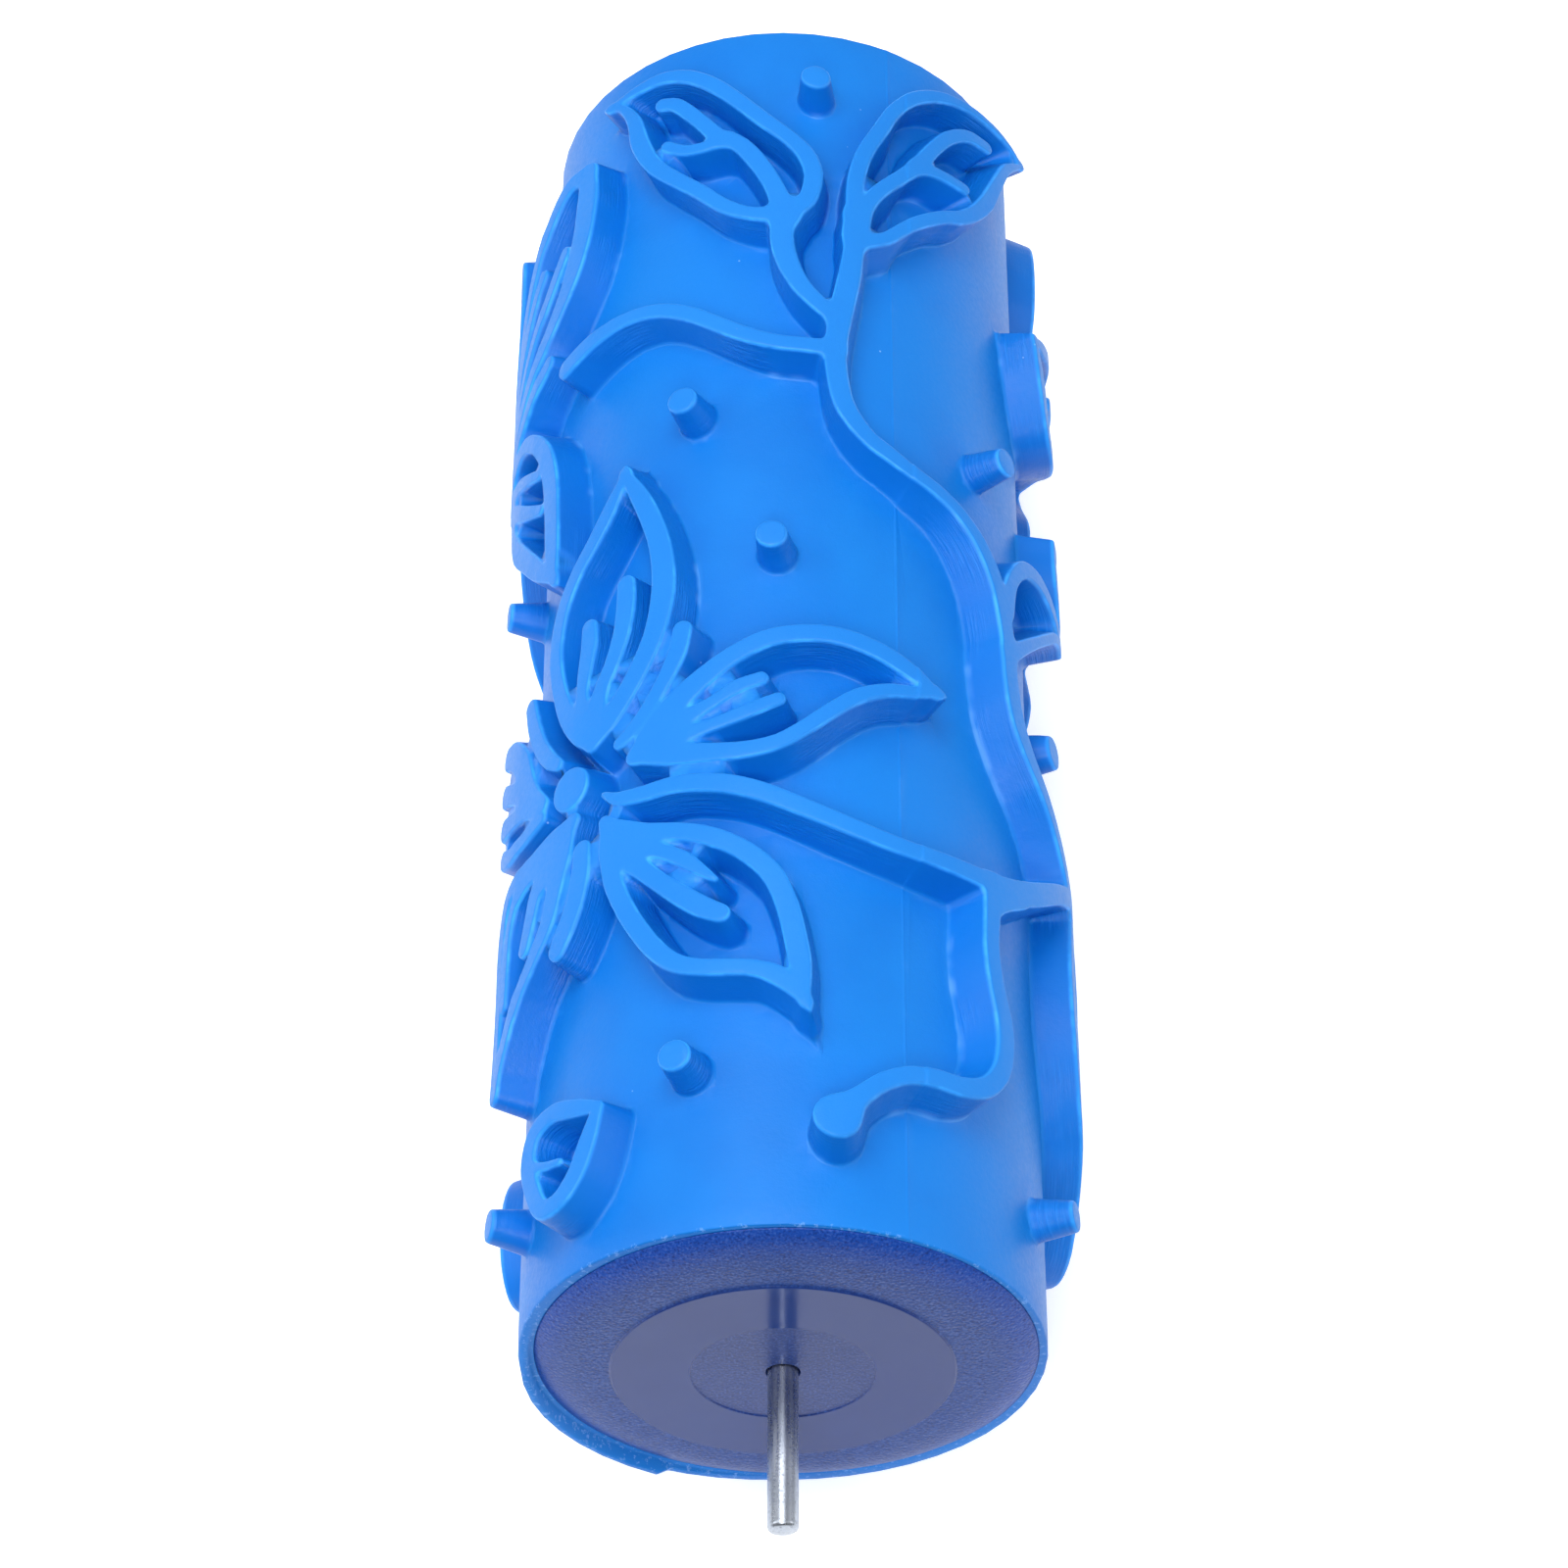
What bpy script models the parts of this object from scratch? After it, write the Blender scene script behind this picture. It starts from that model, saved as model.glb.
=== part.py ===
"""Textured pattern roller: a moulded rubber sleeve with a raised flower-and-vine pattern, on a
plastic core with two end caps, turning on a fixed steel axle. The axle runs along Y through the
origin, the front end is at -Y and +Z is up. Blender units are metres; sizes here are in mm."""

import math

import bmesh
import bpy
import numpy as np
from mathutils import Matrix, Vector
from mathutils.geometry import delaunay_2d_cdt

MM = 0.001
FIT_GAP = 0.3              # clearance between neighbouring parts

# Core and sleeve
CORE_R = 27.5
CORE_BORE_R = 25.6
SLEEVE_R = 30.0            # rubber sleeve, outside its base skin
SLEEVE_BORE_R = CORE_R + FIT_GAP
RELIEF_R = SLEEVE_R + 5.0  # tops of the raised pattern
SLEEVE_HALF = 90.0         # half the sleeve's length
SLEEVE_LENGTH = 2 * SLEEVE_HALF
CORE_HALF = SLEEVE_HALF - FIT_GAP

# Axle and bush
AXLE_R = 1.75
AXLE_HALF = 111.5
AXLE_CHAMFER = 0.4
BUSH_R = 3.7
BUSH_BORE_R = AXLE_R + 0.2

# End cap
CAP_R = 28.7
CAP_BACK = SLEEVE_HALF + FIT_GAP   # back of the cap's flange
CAP_HOLE_R = AXLE_R + FIT_GAP
PLUG_R = CORE_BORE_R - FIT_GAP     # skirt that plugs into the core
PLUG_WALL = 2.0
PLUG_CHAMFER = 0.6
PLUG_FOOT = 75.0
WEB_BACK = 89.2
BOSS_R = 6.0
BOSS_BORE_R = BUSH_R + FIT_GAP
BOSS_BORE_END = 88.9
BOSS_FOOT = 78.5

# Stations of the small parts along the axle, working inwards from the boss
BUSH_TOP = BOSS_BORE_END - FIT_GAP
BUSH_FLANGE_TOP = BOSS_FOOT - FIT_GAP
BUSH_FOOT = 76.9
WASHER_TOP = BUSH_FOOT - FIT_GAP
WASHER_FOOT = WASHER_TOP - 1.0
NUT_TOP = WASHER_FOOT - FIT_GAP

# Ribs inside each cap
RIB_COUNT = 6
RIB_INNER_R = 5.4
RIB_OUTER_R = 24.0
RIB_THICKNESS = 1.6
RIB_FOOT = 83.6
RIB_TOP = 89.6
RIB_OFFSET = 0.25          # turn of the first rib, as a share of the rib pitch

# Meshing of the pattern
SIDES = 48                 # facets round the sleeve
FACET_CELLS = 6            # steps of the pattern's distance field across a facet
RELIEF_GROW = 0.45         # outlines lie this far outside the listed ridge widths
PATTERN_MARGIN = 0.4       # plain strip at each end of the sleeve
CURVE_STEPS = 6            # points per stretch of a smoothed stroke
FIELD_REACH = 5.0          # a ridge is measured only this far from its centre line
FIELD_FAR = 99.0           # field value beyond every ridge's reach
FIELD_BORDER = 9.0         # field value just outside the grid, which closes the outlines
BORDER_WIDTH = 1e-9
NUDGE = 0.05               # least size of a field value, keeps outlines off the grid points
KEEP = 0.22                # how far an outline may stray when it is thinned
FINEST_KEEP = 0.01
STUD_LENGTH = 0.01         # a stud is a ridge this short

# Turned profiles: (radius, distance along the axle), out over the outboard end, down the outer
# side and back inside.
CORE_PROFILE = [
    (CORE_BORE_R, CORE_HALF), (CORE_R, CORE_HALF),
    (CORE_R, -CORE_HALF), (CORE_BORE_R, -CORE_HALF),
]
CAP_PROFILE = [
    # outer face with a raised ring, then the domed rim
    (CAP_HOLE_R, 91.75), (10.4, 91.75), (10.6, 91.95), (19.5, 91.95), (19.7, 91.7),
    (23.6, 91.55), (26.2, 91.25), (27.9, 90.8), (CAP_R, 90.52), (CAP_R, CAP_BACK),
    # plug skirt
    (PLUG_R, CAP_BACK), (PLUG_R, PLUG_FOOT + PLUG_CHAMFER), (PLUG_R - PLUG_CHAMFER, PLUG_FOOT),
    (PLUG_R - PLUG_WALL, PLUG_FOOT), (PLUG_R - PLUG_WALL, WEB_BACK),
    # hub boss
    (BOSS_R, WEB_BACK), (BOSS_R, BOSS_FOOT), (BOSS_BORE_R, BOSS_FOOT),
    (BOSS_BORE_R, BOSS_BORE_END), (CAP_HOLE_R, BOSS_BORE_END),
]
BUSH_PROFILE = [
    (BUSH_BORE_R, BUSH_TOP), (BUSH_R - 0.3, BUSH_TOP), (BUSH_R, BUSH_TOP - 0.3),
    (BUSH_R, BUSH_FLANGE_TOP), (5.7, BUSH_FLANGE_TOP), (5.7, BUSH_FOOT), (BUSH_BORE_R, BUSH_FOOT),
]
WASHER_PROFILE = [(2.0, WASHER_TOP), (5.2, WASHER_TOP), (5.2, WASHER_FOOT), (2.0, WASHER_FOOT)]
NUT_PROFILE = [
    (1.9, NUT_TOP), (2.6, NUT_TOP), (3.0, 74.7), (4.6, 74.7),
    (4.9, 74.2), (2.9, 74.2), (2.4, 74.8), (1.9, 74.8),
]
AXLE_PROFILE = [
    (0.0, AXLE_HALF), (AXLE_R - AXLE_CHAMFER, AXLE_HALF), (AXLE_R, AXLE_HALF - AXLE_CHAMFER),
    (AXLE_R, -AXLE_HALF + AXLE_CHAMFER), (AXLE_R - AXLE_CHAMFER, -AXLE_HALF), (0.0, -AXLE_HALF),
]

# ---- Relief pattern, laid out on the sleeve's unrolled top surface ----
# Degrees count from the top (+Z) towards +X, the right when seen from the front.
MM_PER_DEGREE = math.pi / 180 * RELIEF_R
TURN = 360 * MM_PER_DEGREE

# Each stroke is a row of (degrees round the roller, mm from the front end, ridge width in mm).
DRAWN_STROKES = [
    # two leaves at the rear end, on their stems
    [(1.5, 143.6, 2.4), (5, 146.2, 2.3), (6.3, 150, 2.4), (5, 153.4, 2.4), (1.5, 156.4, 2.2),
     (-4, 159.6, 2.2), (-9, 163, 2.2), (-14.5, 166.6, 2.2), (-20.5, 169.3, 2.1),
     (-27, 170.6, 1.9), (-34, 170.3, 1.4), (-40.5, 169.6, 0.6)],
    [(-1, 143.4, 2.6), (-7, 143.8, 2.0), (-12.5, 145.6, 2.1), (-18, 148.9, 2.1),
     (-24, 152.4, 2.2), (-29, 156, 2.3), (-32.3, 160.6, 2.6), (-34, 165, 2.0),
     (-37, 168.2, 1.2), (-40.5, 169.6, 0.6)],
    [(0.3, 143, 3.2), (-1.6, 147.5, 2.5), (-4.8, 151.8, 2.5), (-9, 155.6, 2.4),
     (-13.5, 157.4, 2.3), (-16.5, 159.8, 2.1), (-20, 162.6, 2.1), (-23.5, 165, 2.0),
     (-26.8, 165.8, 2.0)],
    [(-12, 157, 1.9), (-17, 156.3, 1.7), (-21.5, 156.6, 1.7), (-25.6, 158.2, 1.6)],
    [(0.5, 144.5, 3.0), (-0.4, 140, 2.9), (0.6, 136, 2.8), (3.2, 132, 2.5), (6.5, 129.2, 2.3),
     (10.5, 126.8, 2.3)],
    [(14.8, 145, 2.0), (15.3, 150, 2.2), (17.2, 155, 2.2), (21, 160, 2.1), (24.6, 164.4, 2.0),
     (29.5, 167.7, 2.0), (36, 169.9, 1.8), (43, 170.9, 1.4), (51, 171.2, 1.1), (58, 171, 0.9),
     (65, 170.3, 0.5)],
    [(15.6, 140, 2.6), (21.5, 141.3, 1.9), (26, 144, 1.9), (30.5, 146.4, 1.9), (36, 148.8, 1.9),
     (41, 150.5, 2.0), (45.5, 153, 2.2), (49.5, 156.5, 2.4), (53, 161, 2.0), (57.5, 166, 1.5),
     (65, 170.3, 0.5)],
    [(15.2, 141, 3.0), (17.4, 145.6, 2.0), (20.5, 149.3, 2.0), (25.5, 152.8, 2.0),
     (30, 156, 2.2), (34, 160, 2.0), (38.5, 163.6, 2.0), (44, 165.9, 1.9), (50, 166.4, 1.8)],
    [(30, 155.8, 1.9), (36, 156.1, 1.7), (42.3, 155.9, 1.6)],
    # main stem, rear to front down the right side
    [(15.2, 144, 3.2), (14.8, 139, 2.6), (13.8, 134, 2.9), (12.2, 128.5, 3.0), (10.9, 123, 2.8),
     (10.8, 118.5, 2.7), (12.4, 112.8, 2.6), (17, 108.4, 2.4), (22.5, 106.1, 2.3),
     (27.5, 104.3, 2.0), (33, 102.9, 1.9), (39, 100.8, 2.0), (44.5, 97.4, 2.3), (49, 92.4, 2.6),
     (51.3, 86, 2.6), (51.8, 80, 2.8), (53.6, 74.8, 2.9), (58.3, 70.2, 2.6), (65, 66.6, 2.4),
     (72, 63.2, 2.4), (80, 58.6, 2.6)],
    # side shoot to the left
    [(10.5, 121.6, 2.4), (5, 121.8, 2.2), (-1, 122.1, 2.2), (-7, 123.4, 2.2), (-13, 125.6, 2.2),
     (-19.5, 128.3, 2.2), (-27, 130.5, 2.1), (-35, 131.2, 2.0), (-44, 130.6, 2.5),
     (-52.4, 129.4, 2.8)],
    # first flower: its stem, a short spur and a shoot to the front end
    [(-36.8, 58.6, 0.8), (-33.5, 57.3, 1.7), (-28, 56.8, 2.1), (-21, 56.9, 2.3),
     (-13, 56.1, 2.5), (-5, 54.5, 2.5), (3, 52.3, 2.4), (11, 50.3, 2.3), (19, 48.9, 2.2),
     (27, 48.2, 2.2), (35, 48, 2.3), (42, 48.1, 2.5), (48, 48.4, 3.2), (55, 50, 3.2),
     (63, 52.8, 2.8), (71, 55.8, 2.5), (80, 58.6, 2.6)],
    [(45.8, 45.6, 2.2), (48.4, 47, 2.6), (52.5, 48.4, 2.2)],
    [(44.5, 48, 3.0), (43.7, 43, 2.4), (43.3, 38.5, 2.3), (44.2, 34, 2.5), (45.9, 30, 2.7),
     (46.2, 26.5, 2.7), (44.8, 22.8, 2.6), (41, 19.8, 2.5), (35.5, 18.5, 2.4),
     (29.5, 18.4, 2.3), (24, 18, 2.2), (19, 16.6, 2.2), (15, 14.6, 2.3), (11.5, 12.4, 3.2)],
    # petal pointing to the rear
    [(-40.5, 66.8, 1.4), (-44, 69.7, 3.0), (-47.8, 73.4, 2.8), (-50.3, 77.4, 2.5),
     (-51.9, 82, 2.4), (-51.6, 86.4, 2.4), (-49.6, 90.6, 2.4), (-46, 94.2, 2.3),
     (-41.5, 97.5, 2.3), (-37.6, 101.2, 2.2), (-33.8, 106, 0.9)],
    [(-40.5, 66.8, 1.4), (-36.8, 69, 2.9), (-32.6, 72, 2.8), (-29, 75.5, 2.8),
     (-26.2, 79.4, 2.8), (-24.6, 84, 3.0), (-24.4, 88.5, 3.0), (-25.6, 93.5, 2.8),
     (-28.2, 98.5, 2.6), (-31, 102.4, 2.2), (-33.8, 106, 0.9)],
    [(-40.3, 69, 3.6), (-38.4, 74, 2.4), (-35.6, 77.6, 2.3), (-33.6, 81.4, 2.5),
     (-32.8, 85.4, 2.6), (-32.9, 88.6, 2.4)],
    [(-42, 69.5, 3.4), (-43.4, 74, 2.0), (-43, 78, 2.3), (-42, 81.8, 2.6), (-42, 84.6, 2.3)],
    # petal pointing right, towards the rear
    [(-30, 62.4, 1.6), (-26, 65, 3.2), (-20.5, 68.8, 3.2), (-15, 71.7, 2.8), (-9, 74.4, 2.5),
     (-2.5, 76.4, 2.4), (4.5, 77.2, 2.4), (11, 77.1, 2.4), (18, 76, 2.4), (25, 74.2, 2.3),
     (31.5, 71.9, 0.9)],
    [(-30, 62.4, 1.6), (-23, 61.4, 2.8), (-15.5, 60.6, 2.6), (-8, 60.3, 2.3), (-1.5, 61.1, 2.0),
     (4, 63.3, 1.9), (9.5, 66.2, 2.0), (15, 68.8, 2.0), (21, 70.4, 1.8), (27, 71.1, 1.6),
     (31.5, 71.9, 0.9)],
    [(-26, 63.6, 4.0), (-20, 65.6, 2.4), (-14, 67.5, 1.7), (-9, 69.4, 1.9), (-4.3, 70.5, 1.7)],
    [(-25, 62.9, 3.4), (-18.5, 63.7, 2.0), (-12.5, 64.6, 1.7), (-7, 65.8, 1.9), (-1, 67.4, 1.7)],
    # petal pointing right, towards the front
    [(-36.4, 54.6, 1.2), (-33, 52.6, 2.9), (-27, 51.1, 2.6), (-20, 50.1, 2.3),
     (-13.5, 48.6, 2.4), (-7, 46.1, 2.5), (-2.3, 43, 2.6), (0.4, 39.2, 2.6), (2, 35, 2.6),
     (3.2, 30.6, 2.4), (4.2, 25.6, 0.7)],
    [(-36.4, 54.6, 1.2), (-35.2, 50, 2.6), (-34.2, 45.8, 2.5), (-31.3, 41.4, 2.4),
     (-28, 37.7, 2.4), (-24.6, 34.6, 2.4), (-20.5, 32.2, 2.3), (-15.5, 31, 2.1),
     (-10, 30.6, 2.1), (-5, 30.2, 2.1), (-0.5, 28.9, 2.4), (4.2, 25.6, 0.7)],
    [(-33.5, 50.5, 4.2), (-29.3, 47.2, 2.6), (-24.5, 44, 2.3), (-19.5, 41.2, 2.6),
     (-15.4, 39.2, 2.7), (-12, 38, 2.4)],
    [(-29, 49.6, 3.0), (-24, 48, 1.9), (-19.5, 46.3, 2.0), (-16, 44.4, 1.5), (-13, 42.8, 0.7)],
    # petal pointing left, towards the front
    [(-44.8, 57.2, 1.4), (-48, 53.6, 3.4), (-49.6, 49, 3.0), (-51.8, 44.8, 2.6),
     (-56.5, 41.4, 2.4), (-62.5, 38, 2.4), (-67.8, 33.6, 2.4), (-71.2, 30.6, 2.4),
     (-72.8, 28.8, 2.6)],
    [(-44.8, 57.2, 1.4), (-50, 56, 3.2), (-57, 55.4, 2.4), (-64, 55.1, 2.3), (-69.5, 53.4, 2.4),
     (-72.3, 48.5, 2.4), (-72.7, 42, 2.4), (-72.8, 35, 2.4), (-72.8, 28.8, 2.6)],
    [(-49, 54.2, 4.4), (-58, 54, 2.8), (-64.6, 52.2, 1.9), (-68, 48.6, 1.7), (-69, 43.6, 1.6),
     (-69.2, 39.4, 1.4)],
    [(-49.5, 52.8, 4.4), (-55.8, 50.6, 2.9), (-58.2, 47.2, 2.6), (-60.2, 44.2, 2.4)],
    # petal pointing left
    [(-54.2, 62.6, 1.6), (-57.4, 63.8, 3.0), (-61.1, 67.4, 3.5), (-64.2, 72, 3.7),
     (-68.4, 75, 3.6), (-72.6, 76.3, 3.2)],
    [(-56.6, 63.4, 2.4), (-61, 65.6, 2.6), (-67, 68.8, 2.7), (-73.4, 70.9, 3.0)],
    [(-56, 62.6, 2.0), (-61, 63.9, 2.0), (-67, 65, 2.5), (-73.4, 66, 3.0)],
    [(-54.6, 60.6, 1.4), (-58, 60.5, 2.2), (-63, 60.2, 2.2), (-69, 60.4, 2.4),
     (-73.4, 61.6, 2.6)],
    # stamens
    [(-20.1, 79.2, 2.3), (-21.1, 76, 2.4), (-23.4, 72.6, 2.2), (-27, 69, 2.0),
     (-30.6, 66.4, 1.9), (-33.6, 65.2, 1.6)],
    [(-61, 79.2, 2.4), (-59.2, 75.4, 2.6), (-56.4, 71.6, 2.5), (-53, 68.6, 2.3),
     (-49.8, 66.8, 1.6)],
    [(-42, 52.2, 2.5), (-42.3, 49, 2.8), (-43.4, 45.8, 2.9), (-45.8, 42.6, 3.0),
     (-48.4, 40.2, 2.8)],
    # small bud leaf at the front left
    [(-36.2, 16.2, 1.4), (-42, 17.3, 2.2), (-48, 18.2, 2.4), (-53.5, 17, 2.5),
     (-55.3, 13.4, 2.6), (-53, 9.2, 2.6), (-50, 6.4, 2.4), (-45.5, 6.3, 2.4), (-41.3, 8.6, 2.5),
     (-38.6, 12.2, 2.4), (-36.2, 16.2, 1.4)],
    [(-54, 12.8, 1.3), (-49.5, 11.8, 1.0), (-45.6, 11.3, 0.9)],
    # second flower, round the left side
    [(-47, 160.6, 2.9), (-46.9, 156, 3.9), (-48, 150.4, 3.8), (-50.8, 145.2, 3.4),
     (-55.4, 141, 2.9), (-62, 137.4, 2.6), (-71, 133.6, 2.6), (-82, 129, 2.8),
     (-90, 125.6, 1.6)],
    [(-47, 160.6, 2.9), (-53, 161, 2.4), (-59.4, 158.4, 2.4), (-67, 153.6, 2.4),
     (-75, 146.6, 2.5), (-82, 138, 2.6), (-90, 125.6, 1.6)],
    [(-54, 149.6, 2.0), (-58, 146.6, 2.3), (-64, 142.8, 2.3), (-72, 138.4, 2.2),
     (-86, 129, 3.2)],
    [(-63.5, 150, 1.9), (-69, 146.6, 2.2), (-75.5, 141.6, 2.2), (-87, 130.4, 3.4)],
    [(-82.6, 160.6, 3.0), (-84.2, 152, 2.8), (-86.4, 143, 2.6), (-89.5, 133, 2.2)],
    [(-53.6, 96, 0.9), (-54.8, 101, 2.8), (-55.4, 106.4, 3.1), (-56.6, 112.2, 3.2),
     (-59.2, 117.8, 3.0), (-64.2, 122, 2.5), (-71, 124.6, 2.5), (-79, 124.4, 2.8),
     (-86, 121, 1.6)],
    [(-53.6, 96, 0.9), (-60, 99.8, 2.6), (-67, 104.4, 3.0), (-73.4, 108.6, 3.2),
     (-77.8, 113, 2.8), (-80, 118, 2.6), (-83, 122, 2.2)],
    [(-60.6, 109.8, 1.5), (-66, 111.6, 2.0), (-72, 114.2, 2.3), (-82, 118.6, 3.0)],
    [(-62, 116, 1.5), (-67, 117.4, 1.8), (-74, 119.4, 2.2), (-83, 120.8, 3.0)],
    [(-59.6, 133.4, 2.2), (-66, 131.4, 2.4), (-74, 128.6, 2.2), (-83, 126, 1.5)],
    # small leaf on the right of the main stem
    [(51.6, 90.5, 2.6), (53.6, 95.6, 2.2), (58, 99.2, 2.3), (64, 100.4, 2.3), (70, 100.2, 2.3),
     (77, 99, 2.1), (84, 97.8, 0.9)],
    [(51.9, 84, 2.6), (57, 86.8, 1.9), (63, 90, 1.5), (69, 93, 1.4), (76, 96.2, 1.4),
     (84, 97.8, 0.9)],
    # sharp leaf to the rear of it
    [(80.5, 113, 0.9), (81.5, 109.6, 2.6), (82.6, 106.4, 2.6), (85.4, 103.8, 2.6),
     (91, 103.4, 2.4), (98, 105.8, 2.4), (107, 109.4, 2.4), (118.5, 111, 2.2)],
    [(80.5, 113, 0.9), (87, 114.4, 2.2), (95, 116.4, 2.4), (106, 117, 2.4), (118.5, 111, 2.2)],
    [(89, 109.6, 1.8), (96, 111.2, 2.1), (104, 112.4, 2.2), (118.5, 111, 2.2)],
    # leaf whose tip lies at the right, towards the rear
    [(69.4, 142, 0.9), (72.2, 138.2, 2.4), (75.2, 134, 2.6), (79, 131, 2.6), (84.4, 130.2, 2.6),
     (91, 131.6, 2.5), (98, 134.4, 2.4), (106, 137.6, 2.4), (118.5, 140.5, 2.4)],
    [(69.4, 142, 0.9), (74.6, 143.2, 2.2), (81, 145, 2.4), (88, 147.2, 2.5), (97, 148.6, 2.5),
     (107, 147, 2.4), (118.5, 140.5, 2.4)],
    [(82, 137.4, 1.8), (89, 138.8, 2.1), (97, 140.2, 2.2), (106, 141.6, 2.2),
     (118.5, 140.5, 2.6)],
    # leaf at the rear end, round the right side
    [(107, 161, 1.4), (104, 165.6, 2.6), (103.2, 171.4, 2.6), (105.4, 176.2, 2.4),
     (112, 177.6, 2.2), (124, 175.8, 2.2), (136, 171, 1.8), (148, 165, 0.8)],
    [(107, 161, 1.4), (115, 158.8, 2.4), (125, 158.4, 2.4), (137, 160.6, 2.0), (148, 165, 0.8)],
    [(112, 168, 1.7), (120, 168, 2.0), (129, 167, 1.9), (137, 166.2, 1.6)],
    # stem low on the right joining the right-hand leaves to the vine, and a side shoot
    [(80, 58.6, 2.8), (91, 57.2, 2.5), (103, 59.2, 2.5), (112.5, 63.5, 2.5), (120, 70.5, 2.5),
     (124.5, 78, 2.5), (125, 86, 2.5), (123.5, 94, 2.5), (119, 98.8, 2.5), (115.8, 102.4, 2.5),
     (117, 106.5, 2.5), (118.8, 111, 2.5), (120.2, 117, 2.5), (117, 124.4, 2.5),
     (112.6, 130, 2.6), (116, 135.4, 2.4), (118.5, 140.5, 2.6)],
    [(103, 59.2, 2.5), (112, 57, 2.4), (121, 52, 2.4), (128, 47.4, 2.2), (134, 46, 1.6)],
    # long leaf running forward from the stem on the right
    [(84, 57.8, 2.6), (79.8, 51, 2.6), (78.8, 45, 2.6), (79.4, 40, 2.6), (81.6, 35.5, 2.6),
     (86, 31.4, 2.6), (92.4, 27.8, 2.6), (98.6, 23.8, 2.6), (103, 21.4, 2.6), (107.5, 19, 2.5),
     (113, 18.2, 2.4), (119.5, 20.6, 2.2), (124, 27, 1.4)],
    [(84, 57.8, 2.6), (92, 54.2, 2.4), (101, 48.6, 2.4), (110, 42, 2.4), (118, 35, 2.2),
     (124, 27, 1.4)],
    [(85, 57, 2.4), (89, 47.6, 2.1), (95, 39.6, 2.1), (102, 33, 1.9), (108, 28.6, 1.7)],
    # small bud leaf, low on the left
    [(-117, 30.6, 2.2), (-112.4, 29.4, 2.6), (-109.4, 24.8, 2.8), (-109.8, 19.4, 2.8),
     (-114, 16, 2.6), (-120, 17, 2.4), (-123, 22, 2.4), (-121.6, 27.4, 2.4),
     (-117, 30.6, 2.2)],
    [(-121, 22.4, 1.8), (-116.4, 22.8, 1.6)],
    # short shoot off the low right-hand stem
    [(125, 83, 2.4), (130, 88.2, 2.3), (137, 91.2, 2.2), (145, 92, 2.0)],
]

# Petal and leaf ridges: (share of the length, share of the half width, ridge width in mm)
PETAL_START = 5.0          # a petal starts this far from the flower's centre
PETAL_EDGE = [(0.0, 0.10, 1.6), (0.12, 0.36, 2.7), (0.34, 0.80, 2.6),
              (0.56, 0.86, 2.4), (0.78, 0.54, 2.1), (1.0, 0.0, 0.8)]
PETAL_VEINS = [(0.22, 0.66), (-0.26, 0.58)]    # (share of the half width, reach along)
LEAF_EDGE = [(0.0, 0.0, 2.2), (0.10, 0.48, 2.2), (0.30, 0.90, 2.2),
             (0.56, 0.84, 2.2), (0.80, 0.44, 1.8), (1.0, 0.0, 0.7)]
LEAF_MIDRIB = [(0.0, 0.0, 2.2), (0.25, 0.0, 2.2), (0.50, 0.06, 2.1), (0.78, 0.12, 1.9)]
LEAF_FORK = [(0.42, 0.02, 2.0), (0.54, -0.22, 1.9), (0.64, -0.36, 1.7)]

# Flowers set out from a centre: (degrees, mm from the front end). Petals are (heading, length,
# width), stamens (mm outwards, mm across, ridge width). Headings are degrees on the flat sheet.
SECOND_FLOWER = (-97, 123)
SECOND_PETALS = [(108, 42, 15), (166, 36, 15), (-146, 37, 14)]
SECOND_STAMEN = [(6.5, 0, 1.6), (11, 0.6, 2.3), (16, 0.4, 2.5), (20, -0.6, 2.3)]
SECOND_STAMEN_HEADINGS = (137, 192)
THIRD_FLOWER = (168, 58)
THIRD_PETALS = [(80, 37, 15), (10, 36, 15), (-58, 36, 15), (-128, 38, 15), (158, 25, 13)]
THIRD_STAMEN = [(6.5, 0, 1.6), (11, 0.5, 2.3), (16, 0.2, 2.5), (20, -0.8, 2.3)]
THIRD_STAMEN_HEADINGS = (45, -24, -93, 190, 116)

# Round studs: (degrees, mm from the front end, top radius in mm)
STUDS = [
    (-46, 62, 2.9), (*SECOND_FLOWER, 2.8), (*THIRD_FLOWER, 2.8),      # flower centres
    (9.8, 11.2, 2.7), (-20.4, 20, 1.9), (-2.4, 92, 1.9), (-21, 114.6, 1.9), (6.9, 167.4, 1.9),
    (52.6, 114, 1.9), (-72, 11, 1.9), (71.3, 12, 1.8), (69.8, 76.1, 2.1), (-79.5, 101.2, 1.8),
    (-140, 17, 1.9), (132, 14, 1.9), (139, 112, 1.9), (160, 132, 1.9), (-136, 84, 1.9),
    (-110, 170, 1.9), (172, 166, 1.9), (134, 76.5, 1.9),
]


def place(centre, heading, points):
    """Local (along, across, width) points in mm, turned by heading and moved to the centre."""
    cos, sin = math.cos(math.radians(heading)), math.sin(math.radians(heading))
    return [(centre[0] + (along * cos - across * sin) / MM_PER_DEGREE,
             centre[1] + along * sin + across * cos, width)
            for along, across, width in points]


def petal(centre, heading, length, width):
    """A pointed petal: two edge ridges from its base to its tip, and two veins inside."""
    rows = [[(f, side * across, ridge) for f, across, ridge in PETAL_EDGE] for side in (1, -1)]
    for across, reach in PETAL_VEINS:
        rows.append([(0.04, across * 0.15, 3.0), (0.22, across * 0.7, 2.4),
                     (0.44, across * 1.15, 2.2), (reach, across * 1.35, 1.9)])
    return [place(centre, heading, [(PETAL_START + f * (length - PETAL_START),
                                     across * width / 2, ridge) for f, across, ridge in row])
            for row in rows]


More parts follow.
